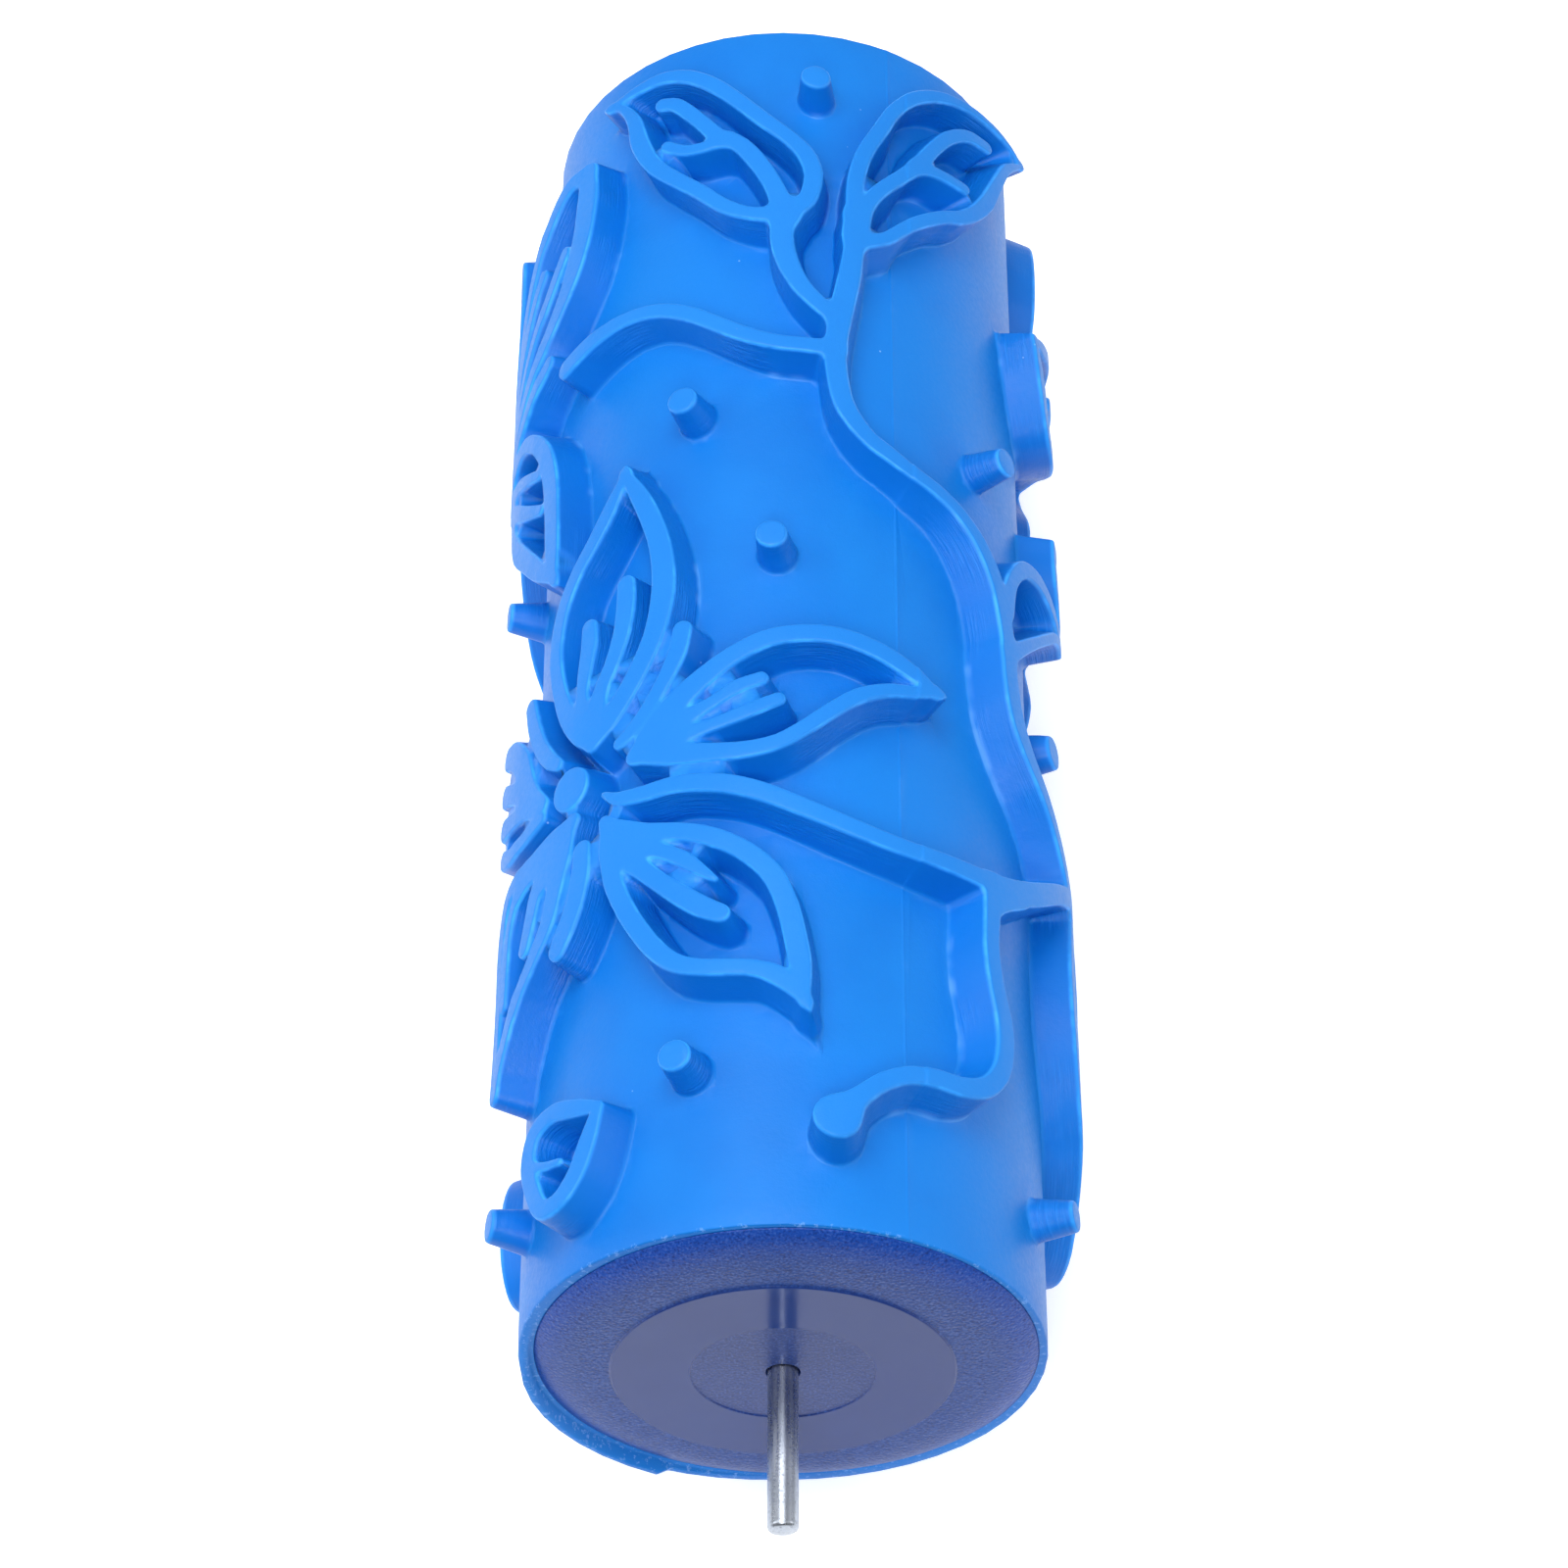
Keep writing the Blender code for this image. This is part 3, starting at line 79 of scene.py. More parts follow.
# Every stroke is a list of (degrees round the roller, mm from the front end, ridge width in mm).
STROKES = [
    # two leaves towards the rear end, on their stems
    [(1.5, 143.6, 2.4), (5, 146.2, 2.3), (6.3, 150, 2.4), (5, 153.4, 2.4), (1.5, 156.4, 2.2),
     (-4, 159.6, 2.2), (-9, 163, 2.2), (-14.5, 166.6, 2.2), (-20.5, 169.3, 2.1), (-27, 170.6, 1.9),
     (-34, 170.3, 1.4), (-40.5, 169.6, 0.6)],
    [(-1, 143.4, 2.6), (-7, 143.8, 2.0), (-12.5, 145.6, 2.1), (-18, 148.9, 2.1), (-24, 152.4, 2.2),
     (-29, 156, 2.3), (-32.3, 160.6, 2.6), (-34, 165, 2.0), (-37, 168.2, 1.2), (-40.5, 169.6, 0.6)],
    [(0.3, 143, 3.2), (-1.6, 147.5, 2.5), (-4.8, 151.8, 2.5), (-9, 155.6, 2.4), (-13.5, 157.4, 2.3),
     (-16.5, 159.8, 2.1), (-20, 162.6, 2.1), (-23.5, 165, 2.0), (-26.8, 165.8, 2.0)],
    [(-12, 157, 1.9), (-17, 156.3, 1.7), (-21.5, 156.6, 1.7), (-25.6, 158.2, 1.6)],
    [(0.5, 144.5, 3.0), (-0.4, 140, 2.9), (0.6, 136, 2.8), (3.2, 132, 2.5), (6.5, 129.2, 2.3),
     (10.5, 126.8, 2.3)],
    [(14.8, 145, 2.0), (15.3, 150, 2.2), (17.2, 155, 2.2), (21, 160, 2.1), (24.6, 164.4, 2.0),
     (29.5, 167.7, 2.0), (36, 169.9, 1.8), (43, 170.9, 1.4), (51, 171.2, 1.1), (58, 171, 0.9),
     (65, 170.3, 0.5)],
    [(15.6, 140, 2.6), (21.5, 141.3, 1.9), (26, 144, 1.9), (30.5, 146.4, 1.9), (36, 148.8, 1.9),
     (41, 150.5, 2.0), (45.5, 153, 2.2), (49.5, 156.5, 2.4), (53, 161, 2.0), (57.5, 166, 1.5),
     (65, 170.3, 0.5)],
    [(15.2, 141, 3.0), (17.4, 145.6, 2.0), (20.5, 149.3, 2.0), (25.5, 152.8, 2.0), (30, 156, 2.2),
     (34, 160, 2.0), (38.5, 163.6, 2.0), (44, 165.9, 1.9), (50, 166.4, 1.8)],
    [(30, 155.8, 1.9), (36, 156.1, 1.7), (42.3, 155.9, 1.6)],
    # main stem, rear to front down the right side
    [(15.2, 144, 3.2), (14.8, 139, 2.6), (13.8, 134, 2.9), (12.2, 128.5, 3.0), (10.9, 123, 2.8),
     (10.8, 118.5, 2.7), (12.4, 112.8, 2.6), (17, 108.4, 2.4), (22.5, 106.1, 2.3), (27.5, 104.3, 2.0),
     (33, 102.9, 1.9), (39, 100.8, 2.0), (44.5, 97.4, 2.3), (49, 92.4, 2.6), (51.3, 86, 2.6),
     (51.8, 80, 2.8), (53.6, 74.8, 2.9), (58.3, 70.2, 2.6), (65, 66.6, 2.4), (72, 63.2, 2.4),
     (80, 58.6, 2.6)],
    # side shoot to the left
    [(10.5, 121.6, 2.4), (5, 121.8, 2.2), (-1, 122.1, 2.2), (-7, 123.4, 2.2), (-13, 125.6, 2.2),
     (-19.5, 128.3, 2.2), (-27, 130.5, 2.1), (-35, 131.2, 2.0), (-44, 130.6, 2.5), (-52.4, 129.4, 2.8)],
    # large flower: stems, then five petals
    [(-36.8, 58.6, 0.8), (-33.5, 57.3, 1.7), (-28, 56.8, 2.1), (-21, 56.9, 2.3), (-13, 56.1, 2.5),
     (-5, 54.5, 2.5), (3, 52.3, 2.4), (11, 50.3, 2.3), (19, 48.9, 2.2), (27, 48.2, 2.2), (35, 48, 2.3),
     (42, 48.1, 2.5), (48, 48.4, 3.2), (55, 50, 3.2), (63, 52.8, 2.8), (71, 55.8, 2.5), (80, 58.6, 2.6)],
    [(45.8, 45.6, 2.2), (48.4, 47, 2.6), (52.5, 48.4, 2.2)],
    [(44.5, 48, 3.0), (43.7, 43, 2.4), (43.3, 38.5, 2.3), (44.2, 34, 2.5), (45.9, 30, 2.7),
     (46.2, 26.5, 2.7), (44.8, 22.8, 2.6), (41, 19.8, 2.5), (35.5, 18.5, 2.4), (29.5, 18.4, 2.3),
     (24, 18, 2.2), (19, 16.6, 2.2), (15, 14.6, 2.3), (11.5, 12.4, 3.2)],
    # petal pointing to the rear
    [(-40.5, 66.8, 1.4), (-44, 69.7, 3.0), (-47.8, 73.4, 2.8), (-50.3, 77.4, 2.5), (-51.9, 82, 2.4),
     (-51.6, 86.4, 2.4), (-49.6, 90.6, 2.4), (-46, 94.2, 2.3), (-41.5, 97.5, 2.3), (-37.6, 101.2, 2.2),
     (-33.8, 106, 0.9)],
    [(-40.5, 66.8, 1.4), (-36.8, 69, 2.9), (-32.6, 72, 2.8), (-29, 75.5, 2.8), (-26.2, 79.4, 2.8),
     (-24.6, 84, 3.0), (-24.4, 88.5, 3.0), (-25.6, 93.5, 2.8), (-28.2, 98.5, 2.6), (-31, 102.4, 2.2),
     (-33.8, 106, 0.9)],
    [(-40.3, 69, 3.6), (-38.4, 74, 2.4), (-35.6, 77.6, 2.3), (-33.6, 81.4, 2.5), (-32.8, 85.4, 2.6),
     (-32.9, 88.6, 2.4)],
    [(-42, 69.5, 3.4), (-43.4, 74, 2.0), (-43, 78, 2.3), (-42, 81.8, 2.6), (-42, 84.6, 2.3)],
    # petal pointing right, towards the rear
    [(-30, 62.4, 1.6), (-26, 65, 3.2), (-20.5, 68.8, 3.2), (-15, 71.7, 2.8), (-9, 74.4, 2.5),
     (-2.5, 76.4, 2.4), (4.5, 77.2, 2.4), (11, 77.1, 2.4), (18, 76, 2.4), (25, 74.2, 2.3),
     (31.5, 71.9, 0.9)],
    [(-30, 62.4, 1.6), (-23, 61.4, 2.8), (-15.5, 60.6, 2.6), (-8, 60.3, 2.3), (-1.5, 61.1, 2.0),
     (4, 63.3, 1.9), (9.5, 66.2, 2.0), (15, 68.8, 2.0), (21, 70.4, 1.8), (27, 71.1, 1.6),
     (31.5, 71.9, 0.9)],
    [(-26, 63.6, 4.0), (-20, 65.6, 2.4), (-14, 67.5, 1.7), (-9, 69.4, 1.9), (-4.3, 70.5, 1.7)],
    [(-25, 62.9, 3.4), (-18.5, 63.7, 2.0), (-12.5, 64.6, 1.7), (-7, 65.8, 1.9), (-1, 67.4, 1.7)],
    # petal pointing right, towards the front
    [(-36.4, 54.6, 1.2), (-33, 52.6, 2.9), (-27, 51.1, 2.6), (-20, 50.1, 2.3), (-13.5, 48.6, 2.4),
     (-7, 46.1, 2.5), (-2.3, 43, 2.6), (0.4, 39.2, 2.6), (2, 35, 2.6), (3.2, 30.6, 2.4),
     (4.2, 25.6, 0.7)],
    [(-36.4, 54.6, 1.2), (-35.2, 50, 2.6), (-34.2, 45.8, 2.5), (-31.3, 41.4, 2.4), (-28, 37.7, 2.4),
     (-24.6, 34.6, 2.4), (-20.5, 32.2, 2.3), (-15.5, 31, 2.1), (-10, 30.6, 2.1), (-5, 30.2, 2.1),
     (-0.5, 28.9, 2.4), (4.2, 25.6, 0.7)],
    [(-33.5, 50.5, 4.2), (-29.3, 47.2, 2.6), (-24.5, 44, 2.3), (-19.5, 41.2, 2.6), (-15.4, 39.2, 2.7),
     (-12, 38, 2.4)],
    [(-29, 49.6, 3.0), (-24, 48, 1.9), (-19.5, 46.3, 2.0), (-16, 44.4, 1.5), (-13, 42.8, 0.7)],
    # petal pointing left, towards the front
    [(-44.8, 57.2, 1.4), (-48, 53.6, 3.4), (-49.6, 49, 3.0), (-51.8, 44.8, 2.6), (-56.5, 41.4, 2.4),
     (-62.5, 38, 2.4), (-67.8, 33.6, 2.4), (-71.2, 30.6, 2.4), (-72.8, 28.8, 2.6)],
    [(-44.8, 57.2, 1.4), (-50, 56, 3.2), (-57, 55.4, 2.4), (-64, 55.1, 2.3), (-69.5, 53.4, 2.4),
     (-72.3, 48.5, 2.4), (-72.7, 42, 2.4), (-72.8, 35, 2.4), (-72.8, 28.8, 2.6)],
    [(-49, 54.2, 4.4), (-58, 54, 2.8), (-64.6, 52.2, 1.9), (-68, 48.6, 1.7), (-69, 43.6, 1.6),
     (-69.2, 39.4, 1.4)],
    [(-49.5, 52.8, 4.4), (-55.8, 50.6, 2.9), (-58.2, 47.2, 2.6), (-60.2, 44.2, 2.4)],
    # petal pointing left
    [(-54.2, 62.6, 1.6), (-57.4, 63.8, 3.0), (-61.1, 67.4, 3.5), (-64.2, 72, 3.7), (-68.4, 75, 3.6),
     (-72.6, 76.3, 3.2)],
    [(-56.6, 63.4, 2.4), (-61, 65.6, 2.6), (-67, 68.8, 2.7), (-73.4, 70.9, 3.0)],
    [(-56, 62.6, 2.0), (-61, 63.9, 2.0), (-67, 65, 2.5), (-73.4, 66, 3.0)],
    [(-54.6, 60.6, 1.4), (-58, 60.5, 2.2), (-63, 60.2, 2.2), (-69, 60.4, 2.4), (-73.4, 61.6, 2.6)],
    # stamens
    [(-20.1, 79.2, 2.3), (-21.1, 76, 2.4), (-23.4, 72.6, 2.2), (-27, 69, 2.0), (-30.6, 66.4, 1.9),
     (-33.6, 65.2, 1.6)],
    [(-61, 79.2, 2.4), (-59.2, 75.4, 2.6), (-56.4, 71.6, 2.5), (-53, 68.6, 2.3), (-49.8, 66.8, 1.6)],
    [(-42, 52.2, 2.5), (-42.3, 49, 2.8), (-43.4, 45.8, 2.9), (-45.8, 42.6, 3.0), (-48.4, 40.2, 2.8)],
    # small bud leaf at the front left
    [(-36.2, 16.2, 1.4), (-42, 17.3, 2.2), (-48, 18.2, 2.4), (-53.5, 17, 2.5), (-55.3, 13.4, 2.6),
     (-53, 9.2, 2.6), (-50, 6.4, 2.4), (-45.5, 6.3, 2.4), (-41.3, 8.6, 2.5), (-38.6, 12.2, 2.4),
     (-36.2, 16.2, 1.4)],
    [(-54, 12.8, 1.3), (-49.5, 11.8, 1.0), (-45.6, 11.3, 0.9)],
    # second flower, round the left side
    [(-47, 160.6, 2.9), (-46.9, 156, 3.9), (-48, 150.4, 3.8), (-50.8, 145.2, 3.4), (-55.4, 141, 2.9),
     (-62, 137.4, 2.6), (-71, 133.6, 2.6), (-82, 129, 2.8), (-90, 125.6, 1.6)],
    [(-47, 160.6, 2.9), (-53, 161, 2.4), (-59.4, 158.4, 2.4), (-67, 153.6, 2.4), (-75, 146.6, 2.5),
     (-82, 138, 2.6), (-90, 125.6, 1.6)],
    [(-54, 149.6, 2.0), (-58, 146.6, 2.3), (-64, 142.8, 2.3), (-72, 138.4, 2.2), (-86, 129, 3.2)],
    [(-63.5, 150, 1.9), (-69, 146.6, 2.2), (-75.5, 141.6, 2.2), (-87, 130.4, 3.4)],
    [(-82.6, 160.6, 3.0), (-84.2, 152, 2.8), (-86.4, 143, 2.6), (-89.5, 133, 2.2)],
    [(-53.6, 96, 0.9), (-54.8, 101, 2.8), (-55.4, 106.4, 3.1), (-56.6, 112.2, 3.2),
     (-59.2, 117.8, 3.0), (-64.2, 122, 2.5), (-71, 124.6, 2.5), (-79, 124.4, 2.8), (-86, 121, 1.6)],
    [(-53.6, 96, 0.9), (-60, 99.8, 2.6), (-67, 104.4, 3.0), (-73.4, 108.6, 3.2), (-77.8, 113, 2.8),
     (-80, 118, 2.6), (-83, 122, 2.2)],
    [(-60.6, 109.8, 1.5), (-66, 111.6, 2.0), (-72, 114.2, 2.3), (-82, 118.6, 3.0)],
    [(-62, 116, 1.5), (-67, 117.4, 1.8), (-74, 119.4, 2.2), (-83, 120.8, 3.0)],
    [(-59.6, 133.4, 2.2), (-66, 131.4, 2.4), (-74, 128.6, 2.2), (-83, 126, 1.5)],
    # small leaf on the right of the main stem
    [(51.6, 90.5, 2.6), (53.6, 95.6, 2.2), (58, 99.2, 2.3), (64, 100.4, 2.3), (70, 100.2, 2.3),
     (77, 99, 2.1), (84, 97.8, 0.9)],
    [(51.9, 84, 2.6), (57, 86.8, 1.9), (63, 90, 1.5), (69, 93, 1.4), (76, 96.2, 1.4), (84, 97.8, 0.9)],
    # sharp leaf behind it
    [(80.5, 113, 0.9), (81.5, 109.6, 2.6), (82.6, 106.4, 2.6), (85.4, 103.8, 2.6), (91, 103.4, 2.4),
     (98, 105.8, 2.4), (107, 109.4, 2.4), (118.5, 111, 2.2)],
    [(80.5, 113, 0.9), (87, 114.4, 2.2), (95, 116.4, 2.4), (106, 117, 2.4), (118.5, 111, 2.2)],
    [(89, 109.6, 1.8), (96, 111.2, 2.1), (104, 112.4, 2.2), (118.5, 111, 2.2)],
    # leaf whose tip lies at the right, towards the rear
    [(69.4, 142, 0.9), (72.2, 138.2, 2.4), (75.2, 134, 2.6), (79, 131, 2.6), (84.4, 130.2, 2.6),
     (91, 131.6, 2.5), (98, 134.4, 2.4), (106, 137.6, 2.4), (118.5, 140.5, 2.4)],
    [(69.4, 142, 0.9), (74.6, 143.2, 2.2), (81, 145, 2.4), (88, 147.2, 2.5), (97, 148.6, 2.5),
     (107, 147, 2.4), (118.5, 140.5, 2.4)],
    [(82, 137.4, 1.8), (89, 138.8, 2.1), (97, 140.2, 2.2), (106, 141.6, 2.2), (118.5, 140.5, 2.6)],
    # leaf at the rear end, round the right side
    [(107, 161, 1.4), (104, 165.6, 2.6), (103.2, 171.4, 2.6), (105.4, 176.2, 2.4), (112, 177.6, 2.2),
     (124, 175.8, 2.2), (136, 171, 1.8), (148, 165, 0.8)],
    [(107, 161, 1.4), (115, 158.8, 2.4), (125, 158.4, 2.4), (137, 160.6, 2.0), (148, 165, 0.8)],
    [(112, 168, 1.7), (120, 168, 2.0), (129, 167, 1.9), (137, 166.2, 1.6)],
    # stem joining the right-hand leaves to the vine, round the lower right
    [(80, 58.6, 2.8), (91, 57.2, 2.5), (103, 59.2, 2.5), (112.5, 63.5, 2.5), (120, 70.5, 2.5),
     (124.5, 78, 2.5), (125, 86, 2.5), (123.5, 94, 2.5), (119, 98.8, 2.5), (115.8, 102.4, 2.5),
     (117, 106.5, 2.5), (118.8, 111, 2.5), (120.2, 117, 2.5), (117, 124.4, 2.5), (112.6, 130, 2.6),
     (116, 135.4, 2.4), (118.5, 140.5, 2.6)],
    [(103, 59.2, 2.5), (112, 57, 2.4), (121, 52, 2.4), (128, 47.4, 2.2), (134, 46, 1.6)],
    # long leaf hanging from the stem on the right
    [(84, 57.8, 2.6), (79.8, 51, 2.6), (78.8, 45, 2.6), (79.4, 40, 2.6), (81.6, 35.5, 2.6),
     (86, 31.4, 2.6), (92.4, 27.8, 2.6), (98.6, 23.8, 2.6), (103, 21.4, 2.6), (107.5, 19, 2.5),
     (113, 18.2, 2.4), (119.5, 20.6, 2.2), (124, 27, 1.4)],
    [(84, 57.8, 2.6), (92, 54.2, 2.4), (101, 48.6, 2.4), (110, 42, 2.4), (118, 35, 2.2),
     (124, 27, 1.4)],
    [(85, 57, 2.4), (89, 47.6, 2.1), (95, 39.6, 2.1), (102, 33, 1.9), (108, 28.6, 1.7)],
    # small bud leaf, round the left side
    [(-117, 30.6, 2.2), (-112.4, 29.4, 2.6), (-109.4, 24.8, 2.8), (-109.8, 19.4, 2.8),
     (-114, 16, 2.6), (-120, 17, 2.4), (-123, 22, 2.4), (-121.6, 27.4, 2.4), (-117, 30.6, 2.2)],
    [(-121, 22.4, 1.8), (-116.4, 22.8, 1.6)],
    # short shoot at the lower right
    [(125, 83, 2.4), (130, 88.2, 2.3), (137, 91.2, 2.2), (145, 92, 2.0)],
]

# Round studs: (degrees, mm from the front end, top radius in mm)
DOTS = [(-46, 62, 2.9), (9.8, 11.2, 2.7), (-20.4, 20, 1.9), (-2.4, 92, 1.9), (-21, 114.6, 1.9),
        (6.9, 167.4, 1.9), (52.6, 114, 1.9), (-72, 11, 1.9), (71.3, 12, 1.8), (69.8, 76.1, 2.1),
        (*SECOND_FLOWER, 2.8), (-79.5, 101.2, 1.8), (*THIRD_FLOWER, 2.8), (-140, 17, 1.9),
        (132, 14, 1.9), (139, 112, 1.9), (160, 132, 1.9), (-136, 84, 1.9), (-110, 170, 1.9),
        (172, 166, 1.9), (134, 76.5, 1.9)]

# Repeated shapes: (share of the length, share of the half width, ridge width in mm)
PETAL_SIDE = [(0.0, 0.10, 1.6), (0.12, 0.36, 2.7), (0.34, 0.80, 2.6), (0.56, 0.86, 2.4),
              (0.78, 0.54, 2.1), (1.0, 0.0, 0.8)]
LEAF_SIDE = [(0.0, 0.0, 2.2), (0.10, 0.48, 2.2), (0.30, 0.90, 2.2), (0.56, 0.84, 2.2),
             (0.80, 0.44, 1.8), (1.0, 0.0, 0.7)]
LEAF_MIDRIB = [(0.0, 0.0, 2.2), (0.25, 0.0, 2.2), (0.50, 0.06, 2.1), (0.78, 0.12, 1.9)]
LEAF_FORK = [(0.42, 0.02, 2.0), (0.54, -0.22, 1.9), (0.64, -0.36, 1.7)]
PETAL_BASE = 5.0               # from a flower's centre to its petals
PETAL_VEINS = ((0.22, 0.66), (-0.26, 0.58))    # spread across, share of the length reached


def place(deg, along, angle, points):
    """Local (x, y, width) in mm, turned by angle degrees about (deg, along)."""
    cosine, sine = math.cos(math.radians(angle)), math.sin(math.radians(angle))
    return [(deg + (x * cosine - y * sine) / MM_PER_DEG, along + x * sine + y * cosine, width)
            for x, y, width in points]


def sized(table, length, width, side=1, base=0.0, bend=0.0):
    """A repeated shape's rows as local (x, y, ridge width) in mm."""
    return [(base + share * (length - base),
             across * side * width / 2 + bend * math.sin(math.pi * share), ridge)
            for share, across, ridge in table]


def petal(centre, angle, length, width):
    """A pointed petal: two outline ridges from its base to its tip, and two veins inside."""
    parts = [sized(PETAL_SIDE, length, width, side, PETAL_BASE) for side in (1, -1)]
    for across, reach in PETAL_VEINS:
        vein = [(0.04, across * 0.15, 3.0), (0.22, across * 0.7, 2.4),
                (0.44, across * 1.15, 2.2), (reach, across * 1.35, 1.9)]
        parts.append(sized(vein, length, width, base=PETAL_BASE))
    return [place(*centre, angle, part) for part in parts]


def leaf(deg, along, angle, length, width, bend):
    """A vine leaf: two outline ridges and a forked midrib."""
    shapes = ((LEAF_SIDE, 1), (LEAF_SIDE, -1), (LEAF_MIDRIB, 1), (LEAF_FORK, 1))
    return [place(deg, along, angle, sized(table, length, width, side, bend=bend))
            for table, side in shapes]


def flower(centre, petals, stamen_angles, stamen):
    """Petals from (angle, length, width) rows, then one stamen at each angle."""
    strokes = []
    for row in petals:
        strokes += petal(centre, *row)
    return strokes + [place(*centre, angle, stamen) for angle in stamen_angles]


# leaf at the lower right, rear of the middle
STROKES += leaf(119.8, 124, angle=30, length=33, width=15, bend=-2.0)
# third flower, underneath
STROKES += flower(THIRD_FLOWER,
                  [(80, 37, 15), (10, 36, 15), (-58, 36, 15), (-128, 38, 15), (158, 25, 13)],
                  (45, -24, -93, 190, 116),
                  [(6.5, 0, 1.6), (11, 0.5, 2.3), (16, 0.2, 2.5), (20, -0.8, 2.3)])
# rest of the second flower
STROKES += flower(SECOND_FLOWER, [(108, 42, 15), (166, 36, 15), (-146, 37, 14)], (137, 192),
                  [(6.5, 0, 1.6), (11, 0.6, 2.3), (16, 0.4, 2.5), (20, -0.6, 2.3)])


# Distance field. "around" is mm round the tops, "along" is mm from the front end.

def smooth(stroke):
    """A Catmull-Rom curve through the stroke, as (around, along, half width) rows."""
    knots = np.array([(deg * MM_PER_DEG, along, width / 2) for deg, along, width in stroke])
    knots = np.vstack([2 * knots[0] - knots[1], knots, 2 * knots[-1] - knots[-2]])
    share = np.linspace(0, 1, CURVE_STEPS, endpoint=False)[:, None]
    rows = [0.5 * (2 * start + (end - before) * share
                   + (2 * before - 5 * start + 4 * end - after) * share ** 2
                   + (3 * start - before - 3 * end + after) * share ** 3)
            for before, start, end, after in zip(knots, knots[1:], knots[2:], knots[3:])]
    return np.vstack(rows + [knots[-2:-1]])


def tip_runs(runs):
    """A sharp tip's sides meet in a long sloping edge that runs on beyond its top."""
    tips = {}
    for stroke, run in zip(STROKES, runs):
        for point, end, inner in ((stroke[-1], run[-1], run[-5]), (stroke[0], run[0], run[4])):
            if point[2] < 1.0:
                away = end[:2] - inner[:2]
                key = (round(point[0], 1), round(point[1], 1))
                tips.setdefault(key, []).append((end, away / np.hypot(*away)))
    made = []
    for found in tips.values():
        if len(found) > 1:
            out = sum(away for _, away in found)
            sharp = np.hypot(*out) / len(found)
            out = out / np.hypot(*out)
            end = found[0][0]
            size = 1.2 + 2.6 * sharp ** 4
            made.append(np.array([end, (*(end[:2] + out * size), -0.75)]))
    return made


def distance_to(run, around, along):
    """Distance from each grid point to one ridge's top edge."""
    nearest = np.full((len(along), len(around)), FAR)
    for shift in (-TURN, 0.0, TURN):
        for start, end in zip(run[:-1], run[1:]):
            low = min(start[0], end[0]) + shift - REACH
            high = max(start[0], end[0]) + shift + REACH
            if high < around[0] or low > around[-1]:
                continue
            cols = slice(*np.searchsorted(around, (low, high)))
            rows = slice(*np.searchsorted(along, (min(start[1], end[1]) - REACH,
                                                  max(start[1], end[1]) + REACH)))
            x, y = np.meshgrid(around[cols] - shift, along[rows])
            step = end[:2] - start[:2]
            x, y = x - start[0], y - start[1]
            share = np.clip((x * step[0] + y * step[1]) / (step @ step), 0, 1)
            gap = (np.hypot(x - share * step[0], y - share * step[1])
                   - (start[2] + share * (end[2] - start[2])))
            nearest[rows, cols] = np.minimum(nearest[rows, cols], gap)
    return nearest


def distance_field(around, along):
    """Distance from each grid point to the nearest ridge's top edge: negative on a ridge."""
    runs = [smooth(stroke) for stroke in STROKES]
    runs += tip_runs(runs)
    runs += [np.array([(deg * MM_PER_DEG, y, radius), (deg * MM_PER_DEG, y + 0.01, radius)])
             for deg, y, radius in DOTS]
    field = np.full((len(along), len(around)), FAR)
    for run in runs:
        own = distance_to(run, around, along)
        # where two ridges meet, their walls run into each other with a small fillet
        blend = np.clip(FILLET - np.abs(field - own), 0, None) / FILLET
        dip = np.where(field + own < 8.0, blend ** 2 * FILLET / 4, 0.0)
        field = np.minimum(field, own) - dip
    return field


def sample(field, grid_around, grid_along, around, along):
    """The field at each (around, along), between its grid points."""
    x = (around - grid_around[0]) / (grid_around[1] - grid_around[0])
    y = (along - grid_along[0]) / (grid_along[1] - grid_along[0])
    x = np.clip(x, 0, len(grid_around) - 1.001)
    y = np.clip(y, 0, len(grid_along) - 1.001)
    i, j = x.astype(int), y.astype(int)
    x, y = x - i, y - j
    return (field[j, i] * (1 - x) * (1 - y) + field[j, i + 1] * x * (1 - y)
            + field[j + 1, i] * (1 - x) * y + field[j + 1, i + 1] * x * y)


# Sleeve mesh

